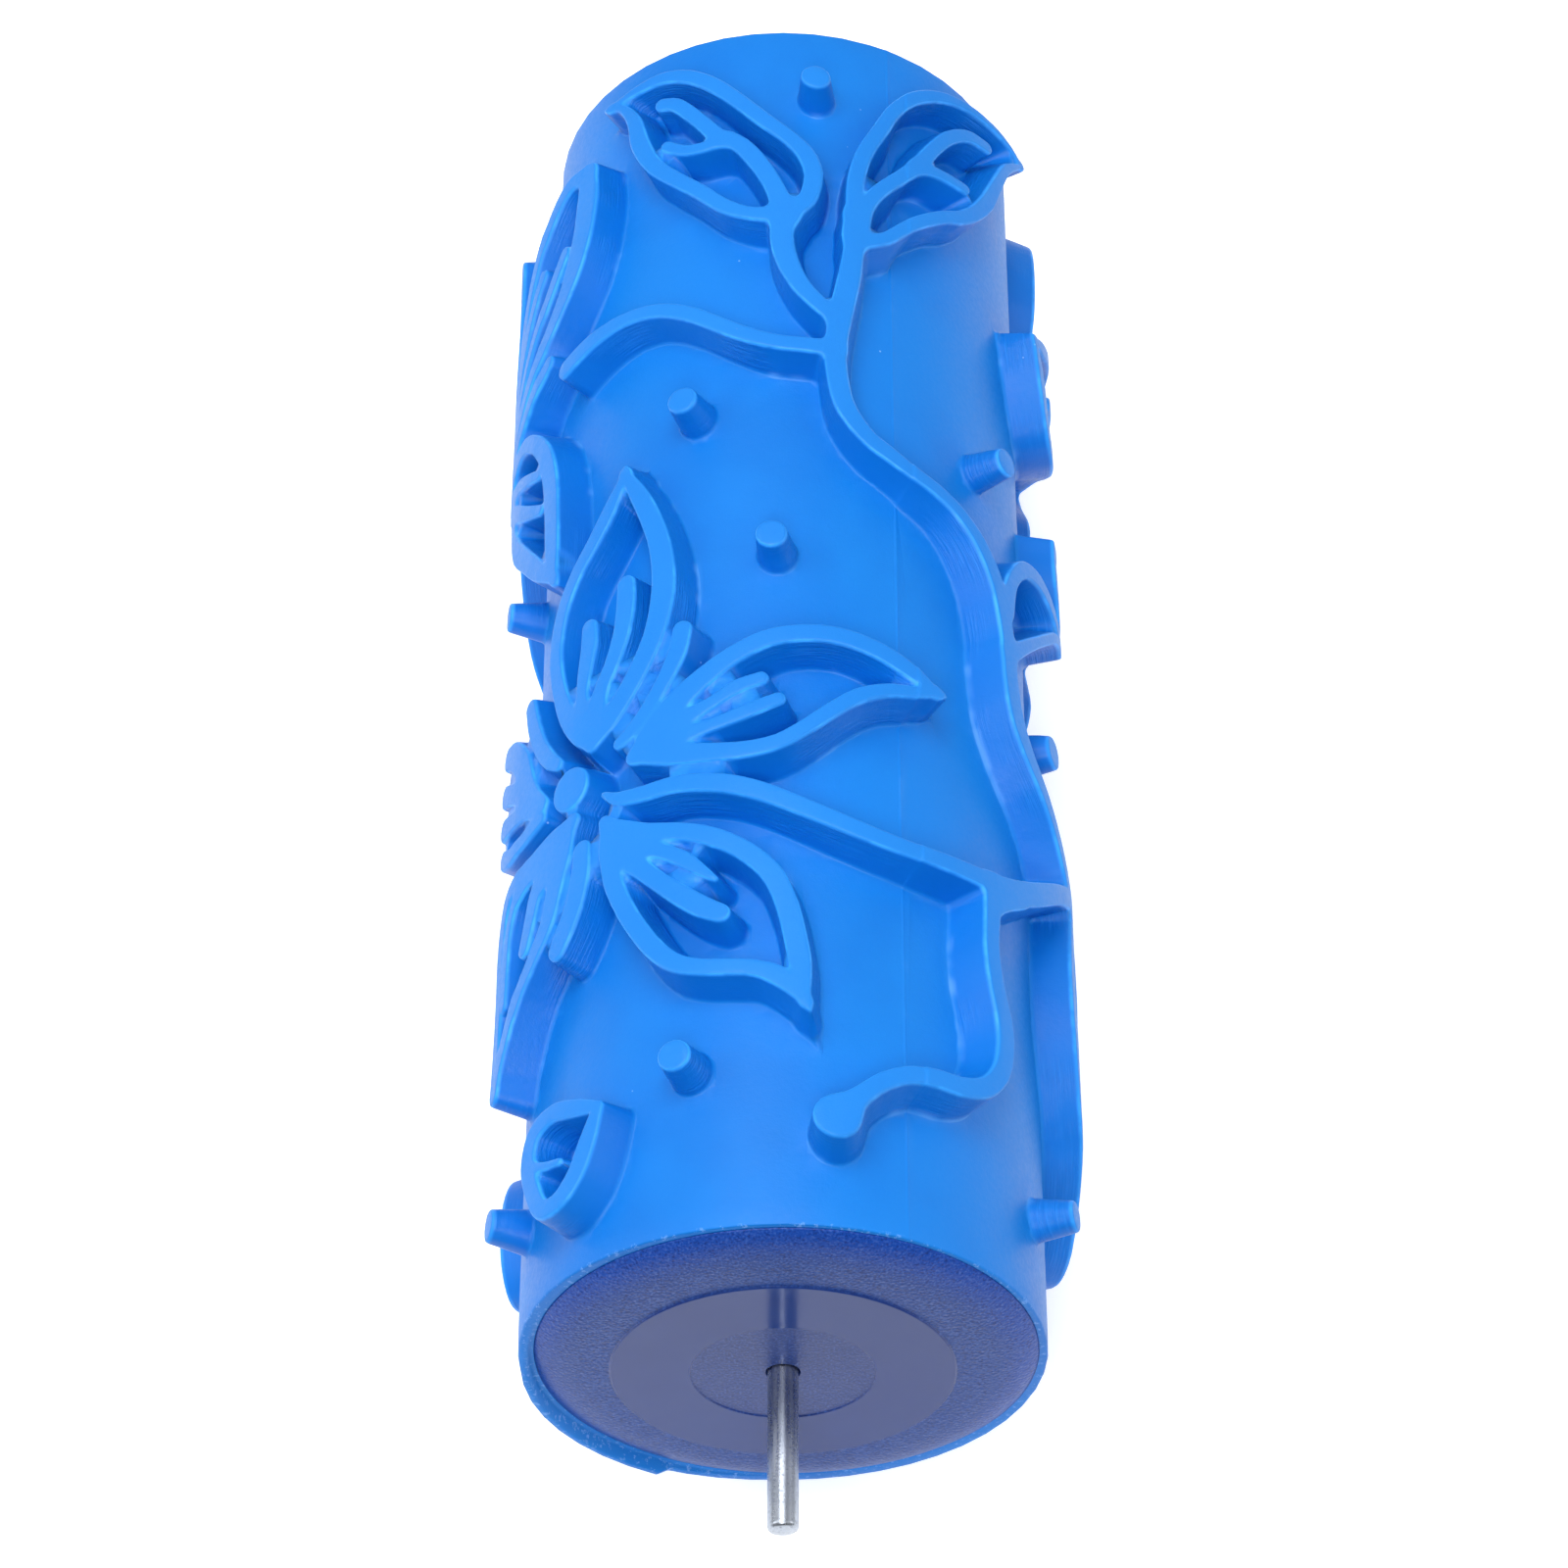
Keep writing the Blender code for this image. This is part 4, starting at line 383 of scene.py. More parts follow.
def outlines(around, along, field, level):
    """Closed outlines, cut at the strip's edges, of the area where field < level."""
    field = np.pad(field - level, 1, constant_values=FAR)
    field = np.where(np.abs(field) < NUDGE, np.where(field < 0, -NUDGE, NUDGE), field)
    around = np.concatenate([[around[0] - 1e-9], around, [around[-1] + 1e-9]])
    along = np.concatenate([[along[0] - 1e-9], along, [along[-1] + 1e-9]])
    inside = field < 0
    kinds = inside[:-1, :-1] + 2 * inside[:-1, 1:] + 4 * inside[1:, 1:] + 8 * inside[1:, :-1]
    step = {}
    for j, i in zip(*np.nonzero((kinds > 0) & (kinds < 15))):
        j, i = int(j), int(i)
        corners = [(j, i), (j, i + 1), (j + 1, i + 1), (j + 1, i)]
        leave, enter = [], []
        for here, after in zip(corners, corners[1:] + corners[:1]):
            if inside[here] and not inside[after]:
                leave.append((min(here, after), max(here, after)))
            elif inside[after] and not inside[here]:
                enter.append((min(here, after), max(here, after)))
        if len(leave) == 2 and kinds[j, i] == 5:
            enter.reverse()
        for start, end in zip(leave, enter):
            step[start, (j, i)] = end

    def crossing(edge):
        (j0, i0), (j1, i1) = edge
        share = field[j0, i0] / (field[j0, i0] - field[j1, i1])
        return (around[i0] + share * (around[i1] - around[i0]),
                along[j0] + share * (along[j1] - along[j0]))

    found, left = [], set(step)
    for key in sorted(step):
        loop = []
        while key is not None and key in left:
            left.remove(key)
            start, cell = key
            loop.append(crossing(start))
            end = step[key]
            (j, i), (_, i1) = end
            beside = [(j, i - 1), (j, i)] if i == i1 else [(j - 1, i), (j, i)]
            key = next(((end, other) for other in beside
                        if other != cell and (end, other) in step), None)
        if len(loop) > 3:
            found.append(np.array(loop))
    return found


def thinned(loop, edges):
    """The outline with fewer points, within KEEP of it. Corners on the strip's edges stay."""
    on_edge = np.abs(loop[:, :1] - edges).min(axis=1) < 1e-6
    first = int(np.argmax(loop[:, 1]))
    loop, on_edge = np.roll(loop, -first, axis=0), np.roll(on_edge, -first)
    far = int(np.argmax(np.hypot(*(loop - loop[0]).T)))
    corner = on_edge & ~(np.roll(on_edge, 1) & np.roll(on_edge, -1))
    fixed = sorted({0, far, *np.nonzero(corner)[0].tolist()}) + [len(loop)]
    closed = np.vstack([loop, loop[:1]])
    chosen = []

    def split_at(start, middle, end):
        split(start, middle)
        chosen.append(middle)
        split(middle, end)

    def split(start, end):
        if end - start < 2:
            return
        chord = closed[end] - closed[start]
        size = float(np.hypot(*chord))
        rest = closed[start + 1:end] - closed[start]
        if size > 1e-6:
            away = np.abs(chord[0] * rest[:, 1] - chord[1] * rest[:, 0]) / size
        else:
            away = np.hypot(*rest.T)
        furthest = int(np.argmax(away))
        middle = start + (end - start) // 2
        if away[furthest] > KEEP:
            split_at(start, start + 1 + furthest, end)
        elif size > LONGEST and not on_edge[min(middle, len(loop) - 1)]:
            split_at(start, middle, end)

    for start, end in zip(fixed[:-1], fixed[1:]):
        chosen.append(start)
        split(start, end)
    return loop[sorted(chosen)]


def lean(deg):
    """How far a ridge's foot leans round the roller: each mould half is drawn off sideways."""
    deg = (deg - PARTING + 180) % 360 - 180
    across = np.sin(np.radians(np.where(deg < 0, deg + 90, deg - 90)))
    gap = np.minimum(np.abs(deg), 180 - np.abs(deg))
    return PULL * across * np.clip(gap / 2.6, 0, 1)


def strip_mesh(around, along, field):
    """One strip as flat points and triangles, with an outline at every level."""
    left, right = around[[0, -1]]
    points = [(left, 0), (right, 0), (right, SLEEVE_LENGTH), (left, SLEEVE_LENGTH)]
    rings = [[0, 1, 2, 3]]
    lines = []
    for level in LEVELS:
        for loop in outlines(around, along, field, level):
            loop = thinned(loop, around[[0, -1]])
            if len(loop) < 3:
                continue
            rings.append(list(range(len(points), len(points) + len(loop))))
            points += loop.tolist()
    for seam in (PARTING, PARTING - 180):
        for off in (-FLASH_HALF, -STEP_HALF, STEP_HALF, FLASH_HALF):
            x = seam * MM_PER_DEG + off
            if left < x < right:
                points += [(x, 0), (x, SLEEVE_LENGTH)]
                lines.append((len(points) - 2, len(points) - 1))
    # plain points carry the skin round the axle; the strip's own edges get them too
    for y in np.linspace(0, SLEEVE_LENGTH, 61)[1:-1]:
        points += [(x, y) for x in (left, (left + right) / 2, right)]
    for y in (0.3, SLEEVE_LENGTH - 0.3):
        points += [(left, y), (right, y)]
        lines.append((len(points) - 2, len(points) - 1))
    flat, _, faces, *_ = delaunay_2d_cdt([Vector(p) for p in points], lines, rings, 0, 1e-4)
    return np.array([tuple(p) for p in flat]), faces


def sleeve_skin():
    """The skin's flat points, faces, radii in mm, angles in radians and ridge heights."""
    grid_around = np.linspace(-TURN / 2, TURN / 2, STRIPS * STRIP_CELLS + 1)
    grid_along = np.linspace(0, SLEEVE_LENGTH, FIELD_ROWS)
    field = distance_field(grid_around, grid_along)
    field[:, -1] = field[:, 0]
    strips, faces, offset = [], [], 0
    for k in range(STRIPS):
        part = slice(k * STRIP_CELLS, (k + 1) * STRIP_CELLS + 1)
        points, strip_faces = strip_mesh(grid_around[part], grid_along, field[:, part])
        strips.append(points)
        faces += [[offset + i for i in face] for face in strip_faces]
        offset += len(points)
    flat = np.vstack(strips)
    around, along = flat.T
    distance = sample(field, grid_around, grid_along, around, along)
    height = np.interp(distance, *zip(*WALL))
    deg = around / MM_PER_DEG
    seam_gap = ((deg - PARTING + 90) % 180 - 90) * MM_PER_DEG
    # parting line: a fine flash line, with one mould half a touch deeper than the other
    flash = 0.07 * np.clip(1 - np.abs(seam_gap) / FLASH_HALF, 0, 1) ** 1.5
    deeper = np.clip(seam_gap / STEP_HALF, -1, 1) * 0.06 * (height / RELIEF_H)
    # the tops are slightly wavy and a touch low
    wander = 0.05 * np.sin(along * 0.13 + np.radians(deg * 6))
    wander = wander + 0.04 * np.sin(along * 0.31 - np.radians(deg * 13) + 1.0)
    on_top = height > 4.0
    radius = SLEEVE_R + height + flash * (height < 4.9) + deeper + wander * on_top - 0.09 * on_top
    # the outermost edge is eased
    radius = np.where(np.minimum(along, SLEEVE_LENGTH - along) < 0.05, radius - 0.22, radius)
    leaning = lean(deg) * (1 - height / RELIEF_H) * np.clip((3.4 - distance) / 2.0, 0, 1)
    return flat, faces, radius, np.radians(deg) + leaning / SLEEVE_R, height


def clamp(value):
    return min(1.0, max(0.0, value))


def ease(share):
    return share * share * (3 - 2 * share)


def lip(co):
    """How far the rubber runs past its end: the front is cut unevenly at the lower left."""
    if co.y > 0:
        return 0.0
    left = -math.degrees(math.atan2(co.x, co.z))
    rise = clamp((left - 70) / 34)
    cut = clamp((left - 150) / 3)
    fade = clamp((left - 156) / 22)
    return 1.35 * ease(rise) * (1 - 0.72 * cut) * (1 - fade)


def finish_piece(name, body, material):
    """Turns a closed bmesh into a smooth object with its faces outwards."""
    bmesh.ops.recalc_face_normals(body, faces=body.faces)
    if body.calc_volume(signed=True) < 0:
        bmesh.ops.reverse_faces(body, faces=body.faces)
    mesh = bpy.data.meshes.new(name)
    body.to_mesh(mesh)
    body.free()
    mesh.polygons.foreach_set("use_smooth", [True] * len(mesh.polygons))
    mesh.materials.append(material)
    obj = bpy.data.objects.new(name, mesh)
    bpy.context.scene.collection.objects.link(obj)
    obj.modifiers.new("even_shading", "WEIGHTED_NORMAL").mode = "FACE_AREA_WITH_ANGLE"
    return obj


def sleeve_object(material):
    """The sleeve: the wrapped sheet with its seam welded, end faces and a bore."""
    points, faces, radius, angle, heights = sleeve_skin()
    places = np.column_stack([radius * np.sin(angle), points[:, 1] - SLEEVE_HALF,
                              radius * np.cos(angle)]) * MILLI
    body = bmesh.new()
    ridge = body.verts.layers.float.new("ridge")
    flat = body.verts.layers.float_vector.new("flat")
    verts = []
    for co, (around, along), height in zip(places.tolist(), points.tolist(), heights.tolist()):
        vert = body.verts.new(co)
        vert[ridge] = height
        vert[flat] = (around, along, height)
        verts.append(vert)
    for face in faces:
        body.faces.new([verts[i] for i in face])
    bmesh.ops.remove_doubles(body, verts=body.verts, dist=2e-6)
    bmesh.ops.recalc_face_normals(body, faces=body.faces)
    for vert in body.verts:
        if abs(vert.co.y) > (SLEEVE_HALF - 0.04) * MILLI:
            vert.co.y -= lip(vert.co) * MILLI
    # radius and inset of each ring from the end face to the bore; None is the uncut end plane
    for ring_r, inset in ((28.95, 0.0), (28.75, None), (SLEEVE_BORE_R + 0.25, 0.0),
                          (SLEEVE_BORE_R, 0.25)):
        edges = [edge for edge in body.edges if len(edge.link_faces) == 1]
        for vert in bmesh.ops.extrude_edge_only(body, edges=edges)["geom"]:
            if isinstance(vert, bmesh.types.BMVert):
                turn = math.atan2(vert.co.x, vert.co.z)
                if inset is None:
                    y = math.copysign(SLEEVE_HALF * MILLI, vert.co.y)
                else:
                    y = vert.co.y - math.copysign(inset * MILLI, vert.co.y)
                vert.co = (ring_r * MILLI * math.sin(turn), y, ring_r * MILLI * math.cos(turn))
                vert[ridge] = -1.0
    open_edges = [edge for edge in body.edges if len(edge.link_faces) == 1]
    bmesh.ops.bridge_loops(body, edges=open_edges)
    obj = finish_piece("moulded_sleeve", body, material)
    obj.modifiers["even_shading"].weight = 50
    obj.modifiers["even_shading"].keep_sharp = True
    return obj


# Materials

class Nodes:
    """Short calls for building the node tree of a material or world."""

    def __init__(self, block):
        block.use_nodes = True
        self.block = block
        self.tree = block.node_tree

    def node(self, kind, inputs=None, **settings):
        made = self.tree.nodes.new("ShaderNode" + kind)
        for key, value in settings.items():
            setattr(made, key, value)
        for key, value in (inputs or {}).items():
            self.put(made.inputs[key], value)
        return made

    def put(self, socket, value):
        if isinstance(value, bpy.types.NodeSocket):
            self.tree.links.new(value, socket)
        else:
            socket.default_value = value

    def coords(self, kind="Object"):
        return self.node("TexCoord").outputs[kind]

    def position(self):
        return self.node("NewGeometry").outputs["Position"]

    def math(self, operation, first, second=0.0):
        return self.node("Math", {0: first, 1: second, 2: 0.0}, operation=operation).outputs[0]

    def times(self, value, by):
        return self.math("MULTIPLY", value, by)

    def plus(self, value, other):
        return self.math("ADD", value, other)

    def stretch(self, vector, by):
        return self.node("VectorMath", {0: vector, 1: by}, operation="MULTIPLY").outputs[0]

    def ramp(self, value, over, to=(0.0, 1.0)):
        """A smooth step between the two 'to' values as value crosses 'over'."""
        inputs = {0: value, 1: over[0], 2: over[1], 3: to[0], 4: to[1]}
        return self.node("MapRange", inputs, interpolation_type="SMOOTHSTEP").outputs[0]

    def mix(self, factor, start, end):
        # sockets 6, 7 and output 2 are the colour ones
        return self.node("Mix", {0: factor, 6: start, 7: end}, data_type="RGBA").outputs[2]

    def tint(self, base, colour, mask, amount):
        return self.mix(self.times(mask, amount), base, colour)

    def noise(self, vector, scale, detail=2.0, rough=0.5):
        inputs = {"Vector": vector, "Scale": scale, "Detail": detail, "Roughness": rough}
        return self.node("TexNoise", inputs).outputs["Fac"]

    def bump(self, height, strength, distance):
        inputs = {"Height": height, "Strength": strength, "Distance": distance}
        return self.node("Bump", inputs).outputs[0]

    def set(self, **values):
        shader = self.tree.nodes["Principled BSDF"]
        for key, value in values.items():
            self.put(shader.inputs[key.replace("_", " ")], value)
        return self.block


def new_material(name):
    return Nodes(bpy.data.materials.new(name))


def srgb(*channels):
    """Linear colour from sRGB channels of 0 to 255."""
    return tuple((c / 255) / 12.92 if c <= 10 else ((c / 255 + 0.055) / 1.055) ** 2.4
                 for c in channels) + (1.0,)


def rubber():
    mat = new_material("blue_moulded_rubber")
    where = mat.coords()
    flat = mat.node("Attribute", attribute_name="flat").outputs["Vector"]
    ridge = mat.node("Attribute", attribute_name="ridge").outputs["Fac"]
    wall = mat.times(mat.ramp(ridge, over=(0.15, 0.9)), mat.ramp(ridge, over=(4.85, 4.4)))
    top = mat.ramp(ridge, over=(4.6, 4.95))
    # tool marks run along the ridges' sides
    marks = mat.noise(mat.stretch(flat, by=(0.16, 0.16, 4.2)), scale=1.0, detail=3.0, rough=0.6)
    patch = mat.ramp(mat.noise(where, scale=95.0), over=(0.42, 0.66))
    broad = mat.noise(where, scale=38.0, detail=3.0, rough=0.55)
    fine = mat.noise(where, scale=1500.0, rough=0.6)
    grain = mat.noise(where, scale=5200.0, detail=1.0)
    cells = mat.node("TexVoronoi", {"Vector": where, "Scale": 260.0}).outputs["Distance"]
    speck = mat.ramp(cells, over=(0.045, 0.02))
    speck = mat.times(speck, mat.ramp(mat.noise(where, scale=60.0, detail=1.0), over=(0.50, 0.62)))
    base = mat.mix(mat.ramp(broad, over=(0.35, 0.65)),
                   start=(0.001, 0.150, 0.56, 1.0), end=(0.002, 0.177, 0.615, 1.0))
    # painted sheen: the ridges' tops are tinted a paler blue
    base = mat.tint(base, colour=(0.012, 0.205, 0.66, 1.0), mask=top, amount=0.6)
    # painted highlight: a thin paler line along the ridges' top edges, stronger in patches
    edge = mat.times(mat.ramp(ridge, over=(4.3, 4.7)), mat.ramp(ridge, over=(4.97, 4.85)))
    edge_glint_noise = mat.noise(where, scale=210.0, detail=3.0, rough=0.6)
    edge_highlight = mat.plus(0.45, mat.ramp(edge_glint_noise, over=(0.45, 0.62), to=(0.0, 0.55)))
    base = mat.tint(base, colour=(0.03, 0.32, 0.90, 1.0), mask=edge, amount=edge_highlight)
    # painted shade: the ridges' walls are tinted a darker blue
    base = mat.tint(base, colour=(0.001, 0.120, 0.55, 1.0), mask=wall, amount=0.35)
    marked = mat.ramp(marks, over=(0.5, 0.62), to=(0.0, mat.times(patch, by=0.42)))
    base = mat.tint(base, colour=(0.015, 0.22, 0.72, 1.0), mask=wall, amount=marked)
    # pale patches at the ridges' feet and on the front edge
    foot = mat.times(mat.ramp(ridge, over=(0.02, 0.16)), mat.ramp(ridge, over=(1.1, 0.5)))
    cloud = mat.noise(where, scale=75.0, detail=3.0, rough=0.7)
    chalk = mat.times(foot, mat.ramp(cloud, over=(0.53, 0.66)))
    along = mat.node("SeparateXYZ", {0: flat}).outputs["Y"]
    front = mat.ramp(along, over=(0.5, 0.1))
    front_patch_noise = mat.noise(where, scale=1300.0, detail=3.0, rough=0.7)
    front = mat.times(front, mat.ramp(front_patch_noise, over=(0.55, 0.66)))
    base = mat.tint(base, colour=(0.10, 0.33, 0.80, 1.0), mask=chalk, amount=0.5)
    base = mat.tint(base, colour=(0.26, 0.50, 0.90, 1.0), mask=front, amount=0.4)
    base = mat.tint(base, colour=srgb(150, 195, 245), mask=speck, amount=0.6)
    rough = mat.plus(mat.ramp(fine, over=(0.3, 0.7), to=(0.37, 0.46)), mat.times(wall, by=-0.06))
    rough = mat.plus(rough, mat.times(mat.ramp(broad, over=(0.4, 0.6)), by=0.05))
    height = mat.plus(mat.times(fine, by=0.25), mat.times(grain, by=0.10))
    depth = mat.plus(mat.times(patch, by=1.9), 0.05)
    height = mat.plus(height, mat.times(mat.times(marks, wall), by=depth))
    height = mat.plus(height, mat.times(broad, by=1.2))
    return mat.set(Base_Color=base, Roughness=rough,
                   Normal=mat.bump(height, strength=0.5, distance=0.00022), IOR=1.5,
                   Specular_IOR_Level=0.25, Subsurface_Weight=0.06,
                   Subsurface_Radius=(0.2, 0.5, 1.0), Subsurface_Scale=0.002)


def cap_plastic():
    mat = new_material("navy_cap_moulding")
    where = mat.coords()
    x, _, z = mat.node("SeparateXYZ", {0: where}).outputs
    squares = mat.plus(mat.times(x, x), mat.times(z, z))
    radius = mat.times(mat.math("SQRT", squares), by=1000.0)       # in mm
    # the raised ring is smooth, the rest is pebbled
    ring = mat.times(mat.ramp(radius, over=(10.45, 10.6)), mat.ramp(radius, over=(19.65, 19.5)))
    rim = mat.ramp(radius, over=(19.6, 19.8))
    textured = mat.math("SUBTRACT", 1.0, ring)
    pebble = mat.node("TexVoronoi", {"Vector": where, "Scale": 2300.0, "Randomness": 1.0},
                      feature="SMOOTH_F1").outputs["Distance"]
    pebble = mat.plus(mat.times(pebble, by=0.7), mat.times(mat.noise(where, scale=3000.0), by=0.5))
    broad = mat.noise(where, scale=70.0, detail=3.0, rough=0.55)
    fine = mat.noise(where, scale=900.0)
    base = mat.mix(rim, start=(0.006, 0.030, 0.178, 1.0), end=(0.003, 0.042, 0.235, 1.0))
    # painted bounce light: towards its outer edge the flange turns a brighter, more saturated blue, as
    # if lit by the blue rubber beside it
    base = mat.mix(mat.ramp(radius, over=(23.5, 28.4)), base, end=(0.002, 0.050, 0.33, 1.0))
    base = mat.mix(mat.ramp(broad, over=(0.35, 0.7), to=(0.0, 0.2)), base,
                   end=(0.016, 0.055, 0.23, 1.0))
    speckle = mat.noise(where, scale=3400.0, detail=1.0)
    base = mat.tint(base, colour=(0.05, 0.12, 0.42, 1.0), mask=textured,
                    amount=mat.ramp(speckle, over=(0.52, 0.72), to=(0.0, 0.5)))
    base = mat.tint(base, colour=(0.002, 0.012, 0.10, 1.0), mask=textured,
                    amount=mat.ramp(speckle, over=(0.48, 0.30), to=(0.0, 0.6)))
    rough = mat.plus(mat.times(textured, by=0.21), mat.ramp(fine, over=(0.3, 0.7), to=(0.10, 0.16)))
    height = mat.times(mat.times(pebble, textured), mat.ramp(rim, over=(0.0, 1.0), to=(0.5, 1.0)))
    height = mat.plus(height, mat.times(broad, by=0.3))
    return mat.set(Base_Color=base, Roughness=rough,
                   Normal=mat.bump(height, strength=0.7, distance=0.00014), IOR=1.5,
                   Specular_IOR_Level=mat.ramp(rim, over=(0.0, 1.0), to=(0.38, 0.26)))


def bare_metal(name, light, dark, rough):
    """Drawn metal with fine pits; rough is the range of its roughness."""
    mat = new_material(name)
    where = mat.coords()
    drawn = mat.noise(mat.stretch(where, by=(1.0, 0.06, 1.0)), scale=2600.0, detail=3.0, rough=0.6)
    pits = mat.noise(where, scale=3000.0, rough=0.6)
    cloud = mat.noise(where, scale=160.0)
    base = mat.mix(mat.ramp(cloud, over=(0.3, 0.7)), light, dark)
    base = mat.mix(mat.ramp(pits, over=(0.56, 0.68), to=(0.0, 0.45)), base, srgb(96, 102, 116))
    rough = mat.plus(mat.ramp(drawn, over=(0.3, 0.7), to=rough),
                     mat.ramp(pits, over=(0.5, 0.7), to=(0.0, 0.12)))
    height = mat.plus(mat.times(drawn, by=0.3), mat.times(pits, by=0.7))
    return mat.set(Base_Color=base, Metallic=1.0, Roughness=rough,
                   Normal=mat.bump(height, strength=0.35, distance=0.00006))


def plain_moulding(name, light, dark, rough):
    mat = new_material(name)
    where = mat.coords()
    cloud = mat.noise(where, scale=120.0, detail=3.0)
    fine = mat.noise(where, scale=2400.0)
    return mat.set(Base_Color=mat.mix(mat.ramp(cloud, over=(0.3, 0.7)), light, dark),
                   Roughness=mat.ramp(fine, over=(0.3, 0.7), to=(rough - 0.06, rough + 0.06)),
                   Normal=mat.bump(fine, strength=0.3, distance=0.0001))


# Turned pieces

CORNER_STEPS = 4
CAP_STEPS = 160
AXLE_STEPS = 64
AXLE_R = 1.75
# Cap section: radius, distance from the roller's middle, corner radius
CAP_PROFILE = [
    (1.95, 91.78, 0.12), (10.40, 91.78, 0.05), (10.55, 91.95, 0.06), (19.50, 91.95, 0.07),
    (19.72, 91.66, 0.06), (21.5, 91.66, 0), (23.2, 91.6, 0), (24.8, 91.44, 0), (26.2, 91.16, 0),
    (27.2, 90.84, 0), (27.9, 90.5, 0), (28.35, 90.2, 0), (28.55, 90.06, 0), (28.2, 90.06, 0),
    (25.3, 90.3, 0.1), (25.3, 75.0, 0.4), (23.3, 75.0, 0.4), (23.3, 89.2, 0.5), (6.0, 89.2, 0.4),
    (6.0, 78.5, 0.3), (4.0, 78.5, 0.3), (4.0, 88.9, 0.2), (1.95, 88.9, 0.1)]
# Half the axle: radius, distance from its middle
AXLE_END = [(0.0, 111.62), (0.8, 111.6), (1.36, 111.56), (1.56, 111.46), (1.68, 111.3),
            (AXLE_R, 111.06), (AXLE_R, 100.0), (AXLE_R, 92.0), (AXLE_R, 60.0)]


def rounded(profile):
    """The closed profile with each corner that has a radius turned into a small arc."""
    out = []
    for i, (*point, size) in enumerate(profile):
        corner = Vector(point)
        back = Vector(profile[i - 1][:2]) - corner
        ahead = Vector(profile[(i + 1) % len(profile)][:2]) - corner
        size = min(size, back.length * 0.45, ahead.length * 0.45)
        if size < 0.01:
            out.append(corner)
            continue
        start, end = corner + back.normalized() * size, corner + ahead.normalized() * size
        for k in range(CORNER_STEPS + 1):
            share = k / CORNER_STEPS
            out.append(start.lerp(corner, share).lerp(corner.lerp(end, share), share))
    return out


def turned(name, profile, steps, material):
    """A piece turned about Y. A profile that starts on the axis also ends there."""
    body = bmesh.new()
    rings = []
    for point in profile:
        radius, y = point.x * MILLI, point.y * MILLI
        if point.x < 1e-6:
            rings.append([body.verts.new((0, y, 0))] * steps)
            continue
        turns = [2 * math.pi * k / steps for k in range(steps)]
        rings.append([body.verts.new((radius * math.sin(turn), y, radius * math.cos(turn)))
                      for turn in turns])
    if profile[0].x > 1e-6:
        rings.append(rings[0])
    for ring, after in zip(rings, rings[1:]):
        for k in range(steps):
            beside = (k + 1) % steps
            corners = list(dict.fromkeys((ring[k], ring[beside], after[beside], after[k])))
            if len(corners) > 2:
                body.faces.new(corners)
    return finish_piece(name, body, material)


def register(obj, replaces, ride):
    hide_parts(replaces)
    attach(obj, ride)


def end_cap(end, sign, material):
    profile = [Vector((point.x, sign * point.y)) for point in rounded(CAP_PROFILE)]
    cap = turned(end + "_cap_moulding", profile, CAP_STEPS, material)
    # the flange sits a little off the hub's centre
    for vert in cap.data.vertices:
        radius = vert.co.xz.length / MILLI
        if abs(vert.co.y) > (SLEEVE_HALF + 0.04) * MILLI and radius > 20.0:
            share = ease(clamp((radius - 20.0) / 8.0))
            vert.co.x += 0.40 * MILLI * share
            vert.co.z += 0.90 * MILLI * share
    register(cap, end + "_end_cap", "roller")


def axle_wire():
    """Drawn wire whose cut ends are a little rounded and uneven."""
    zinc = bare_metal("bright_zinc_wire", srgb(184, 190, 199), srgb(160, 167, 178), (0.24, 0.33))
    profile = [Vector(point) for point in AXLE_END]
    profile += [Vector((radius, -y)) for radius, y in reversed(AXLE_END)]
    axle = turned("axle_wire", profile, AXLE_STEPS, zinc)
    for vert in axle.data.vertices:
        reach = (abs(vert.co.y) / MILLI - 111.0) / 0.5
        if reach > 0:
            uneven = 1 - math.sin(2.0 + math.atan2(vert.co.x, vert.co.z))
            cut = math.copysign(reach * 0.12 * MILLI * uneven, vert.co.y)
            vert.co.y -= cut * (vert.co.xz.length / (AXLE_R * MILLI))
    register(axle, "axle", "axle")


register(sleeve_object(rubber()), "rubber_sleeve", "roller")
NAVY = cap_plastic()
for end, sign in (("front", -1), ("rear", 1)):
    end_cap(end, sign, NAVY)
axle_wire()

# unseen pieces keep their CAD shapes
HIDDEN = {
    "core_tube": plain_moulding("grey_core_moulding", srgb(150, 153, 156), srgb(128, 131, 135),
                                rough=0.55),
    "front_hub_bush": plain_moulding("natural_nylon", srgb(226, 222, 212), srgb(208, 203, 190),
                                     rough=0.42),
    "front_thrust_washer": plain_moulding("black_acetal", srgb(34, 34, 37), srgb(22, 22, 25),
                                          rough=0.36),
    "front_push_nut": bare_metal("blued_spring_steel", srgb(116, 117, 124), srgb(84, 86, 96),
                                 rough=(0.28, 0.42)),
}
for name, material in HIDDEN.items():
    for node in (name, name.replace("front", "rear")):
        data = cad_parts[node].data
        data.materials.clear()
        data.materials.append(material)


# Stage, in metres

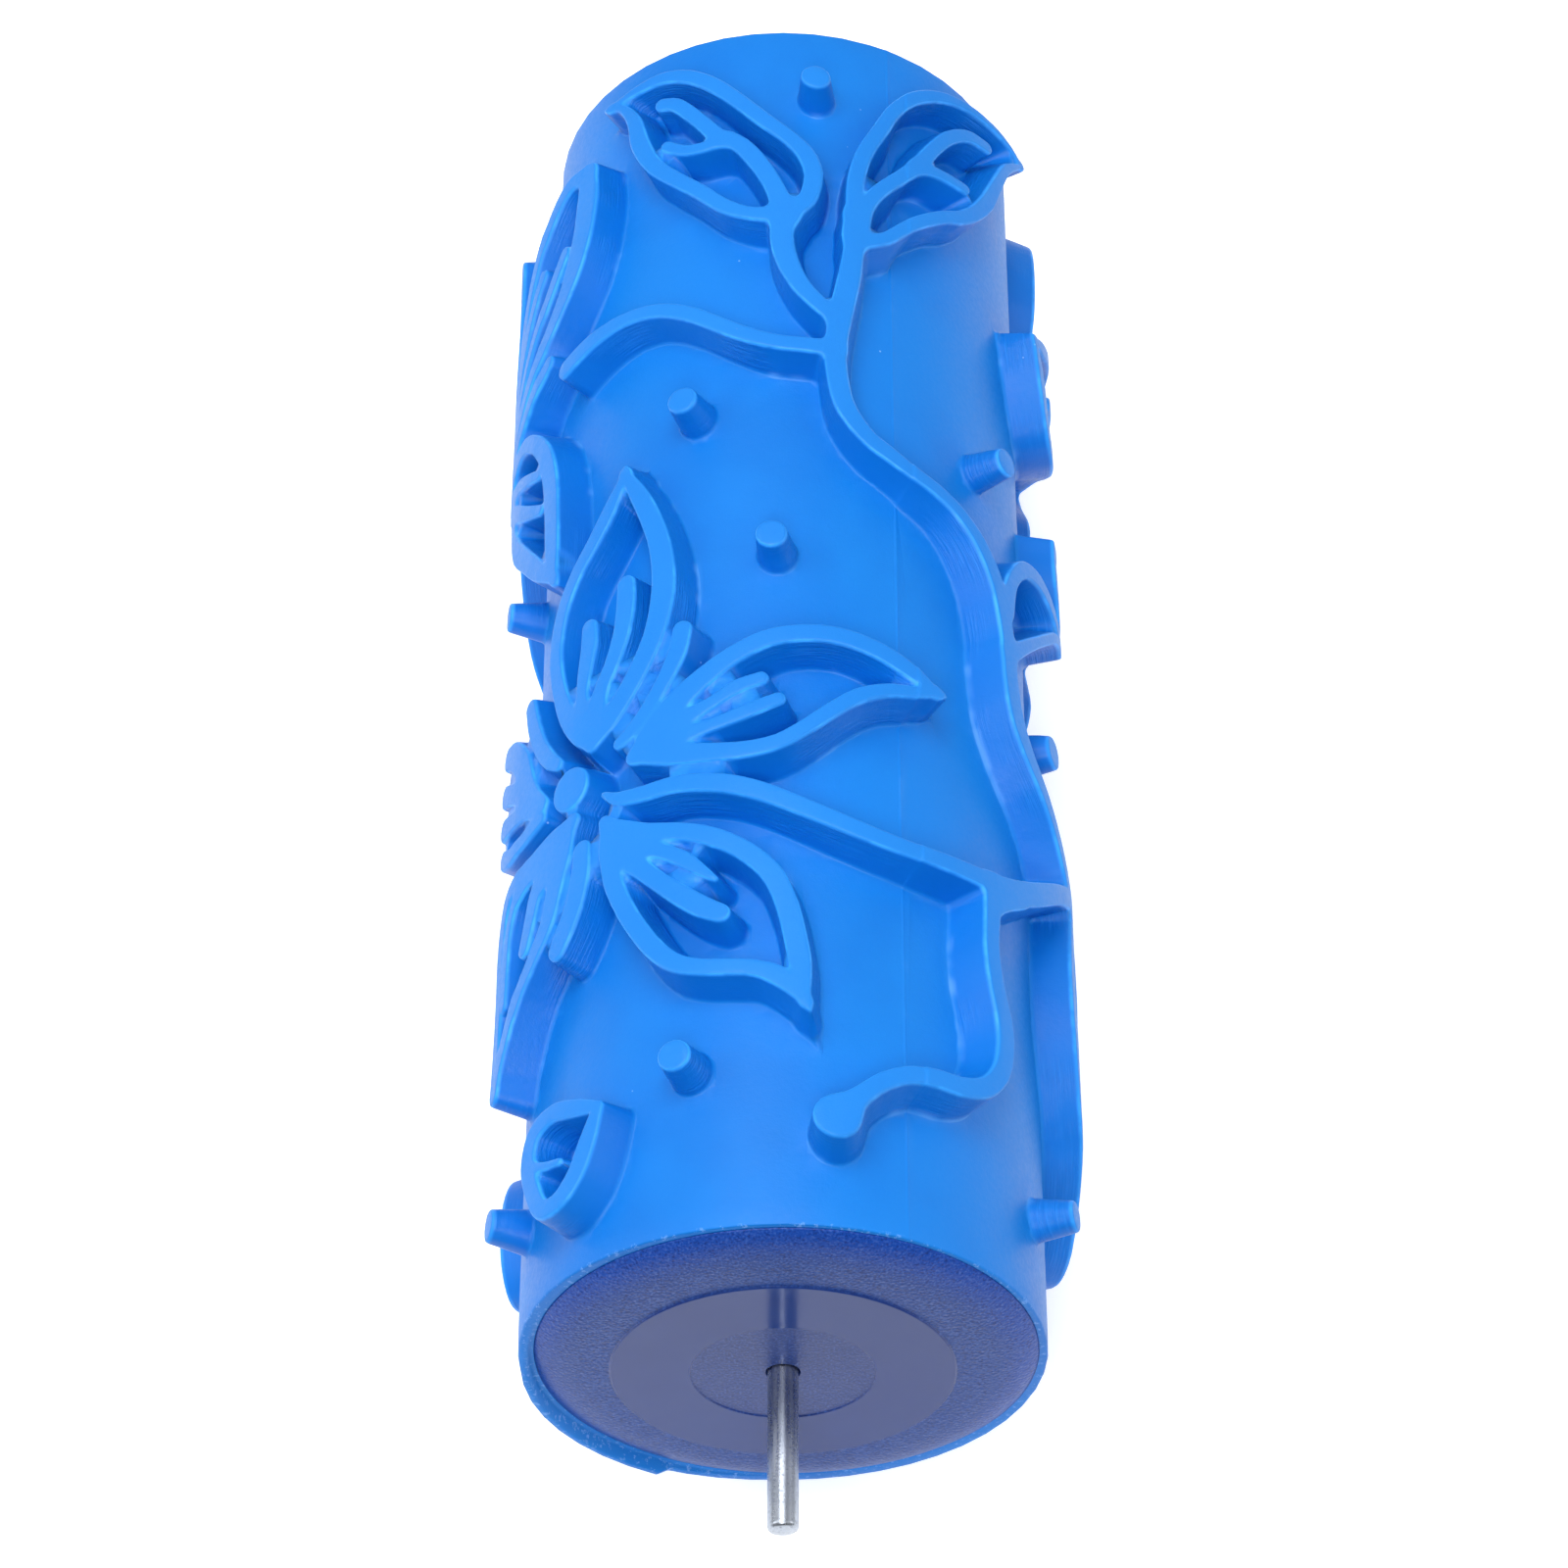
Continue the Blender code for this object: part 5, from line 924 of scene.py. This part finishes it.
def floor_material():
    """Pale floor, evenly white where the camera sees it. Elsewhere it is painted light: it glows near
    the roller, lighting it from below, and it is darker and unlit in front of the roller.
    """
    mat = new_material("pale_floor")
    seen = mat.node("LightPath").outputs["Is Camera Ray"]
    along = mat.node("SeparateXYZ", {0: mat.position()}).outputs["Y"]
    bright = mat.math("MAXIMUM", seen, mat.ramp(along, over=(-0.24, -0.14)))
    cloth = mat.noise(mat.position(), scale=30.0, detail=3.0)
    pale = mat.mix(cloth, start=(0.85, 0.86, 0.87, 1), end=(0.87, 0.88, 0.89, 1))
    glow = mat.plus(mat.times(seen, by=0.20), mat.times(bright, by=0.24))
    return mat.set(Base_Color=mat.mix(bright, (0.30, 0.30, 0.31, 1), pale), Roughness=0.9,
                   Emission_Color=(1, 1, 1, 1), Emission_Strength=glow)


def area_light(name, place, aim, size, power):
    light = bpy.data.lights.new(name, "AREA")
    light.energy = power
    light.shape = "RECTANGLE"
    light.size = size
    light.size_y = size
    obj = bpy.data.objects.new(name, light)
    obj.location = place
    obj.rotation_euler = (Vector(aim) - Vector(place)).to_track_quat("-Z", "Y").to_euler()
    bpy.context.scene.collection.objects.link(obj)


def studio_world():
    """White surroundings, darker in front, where the camera stands."""
    world = Nodes(bpy.data.worlds.new("studio"))
    background = world.tree.nodes["Background"]
    background.inputs["Color"].default_value = (1, 1, 1, 1)
    ahead = world.node("SeparateXYZ", {0: world.coords("Generated")}).outputs["Y"]
    world.put(background.inputs["Strength"],
              world.ramp(ahead, over=(-0.95, -0.55), to=(0.16, 0.50)))
    return world.block


bpy.ops.mesh.primitive_plane_add(size=12, location=(0, 0, -0.0352))
floor = bpy.context.object
floor.name = "floor"
floor.data.materials.append(floor_material())

area_light("key", place=(-0.10, 0.03, 0.62), aim=(0, 0, 0), size=0.42, power=2.5)
area_light("front", place=(-0.06, -0.62, 0.74), aim=(0, -0.02, 0), size=0.34, power=4.0)
area_light("left", place=(-0.75, -0.05, 0.45), aim=(0, 0, 0), size=0.6, power=2.2)
area_light("right", place=(0.75, -0.05, 0.45), aim=(0, 0, 0), size=0.6, power=1.6)
scene = bpy.context.scene
scene.world = studio_world()
scene.view_settings.view_transform = "Standard"

camera = bpy.data.cameras.new("camera")
camera.lens = 104.52
camera.sensor_width = 36
camera.clip_start = 0.01
view = bpy.data.objects.new("camera", camera)
view.location = (0.00011, -0.33859, 0.45572)
view.rotation_euler = (math.radians(35.806), 0, 0)
scene.collection.objects.link(view)
scene.camera = view
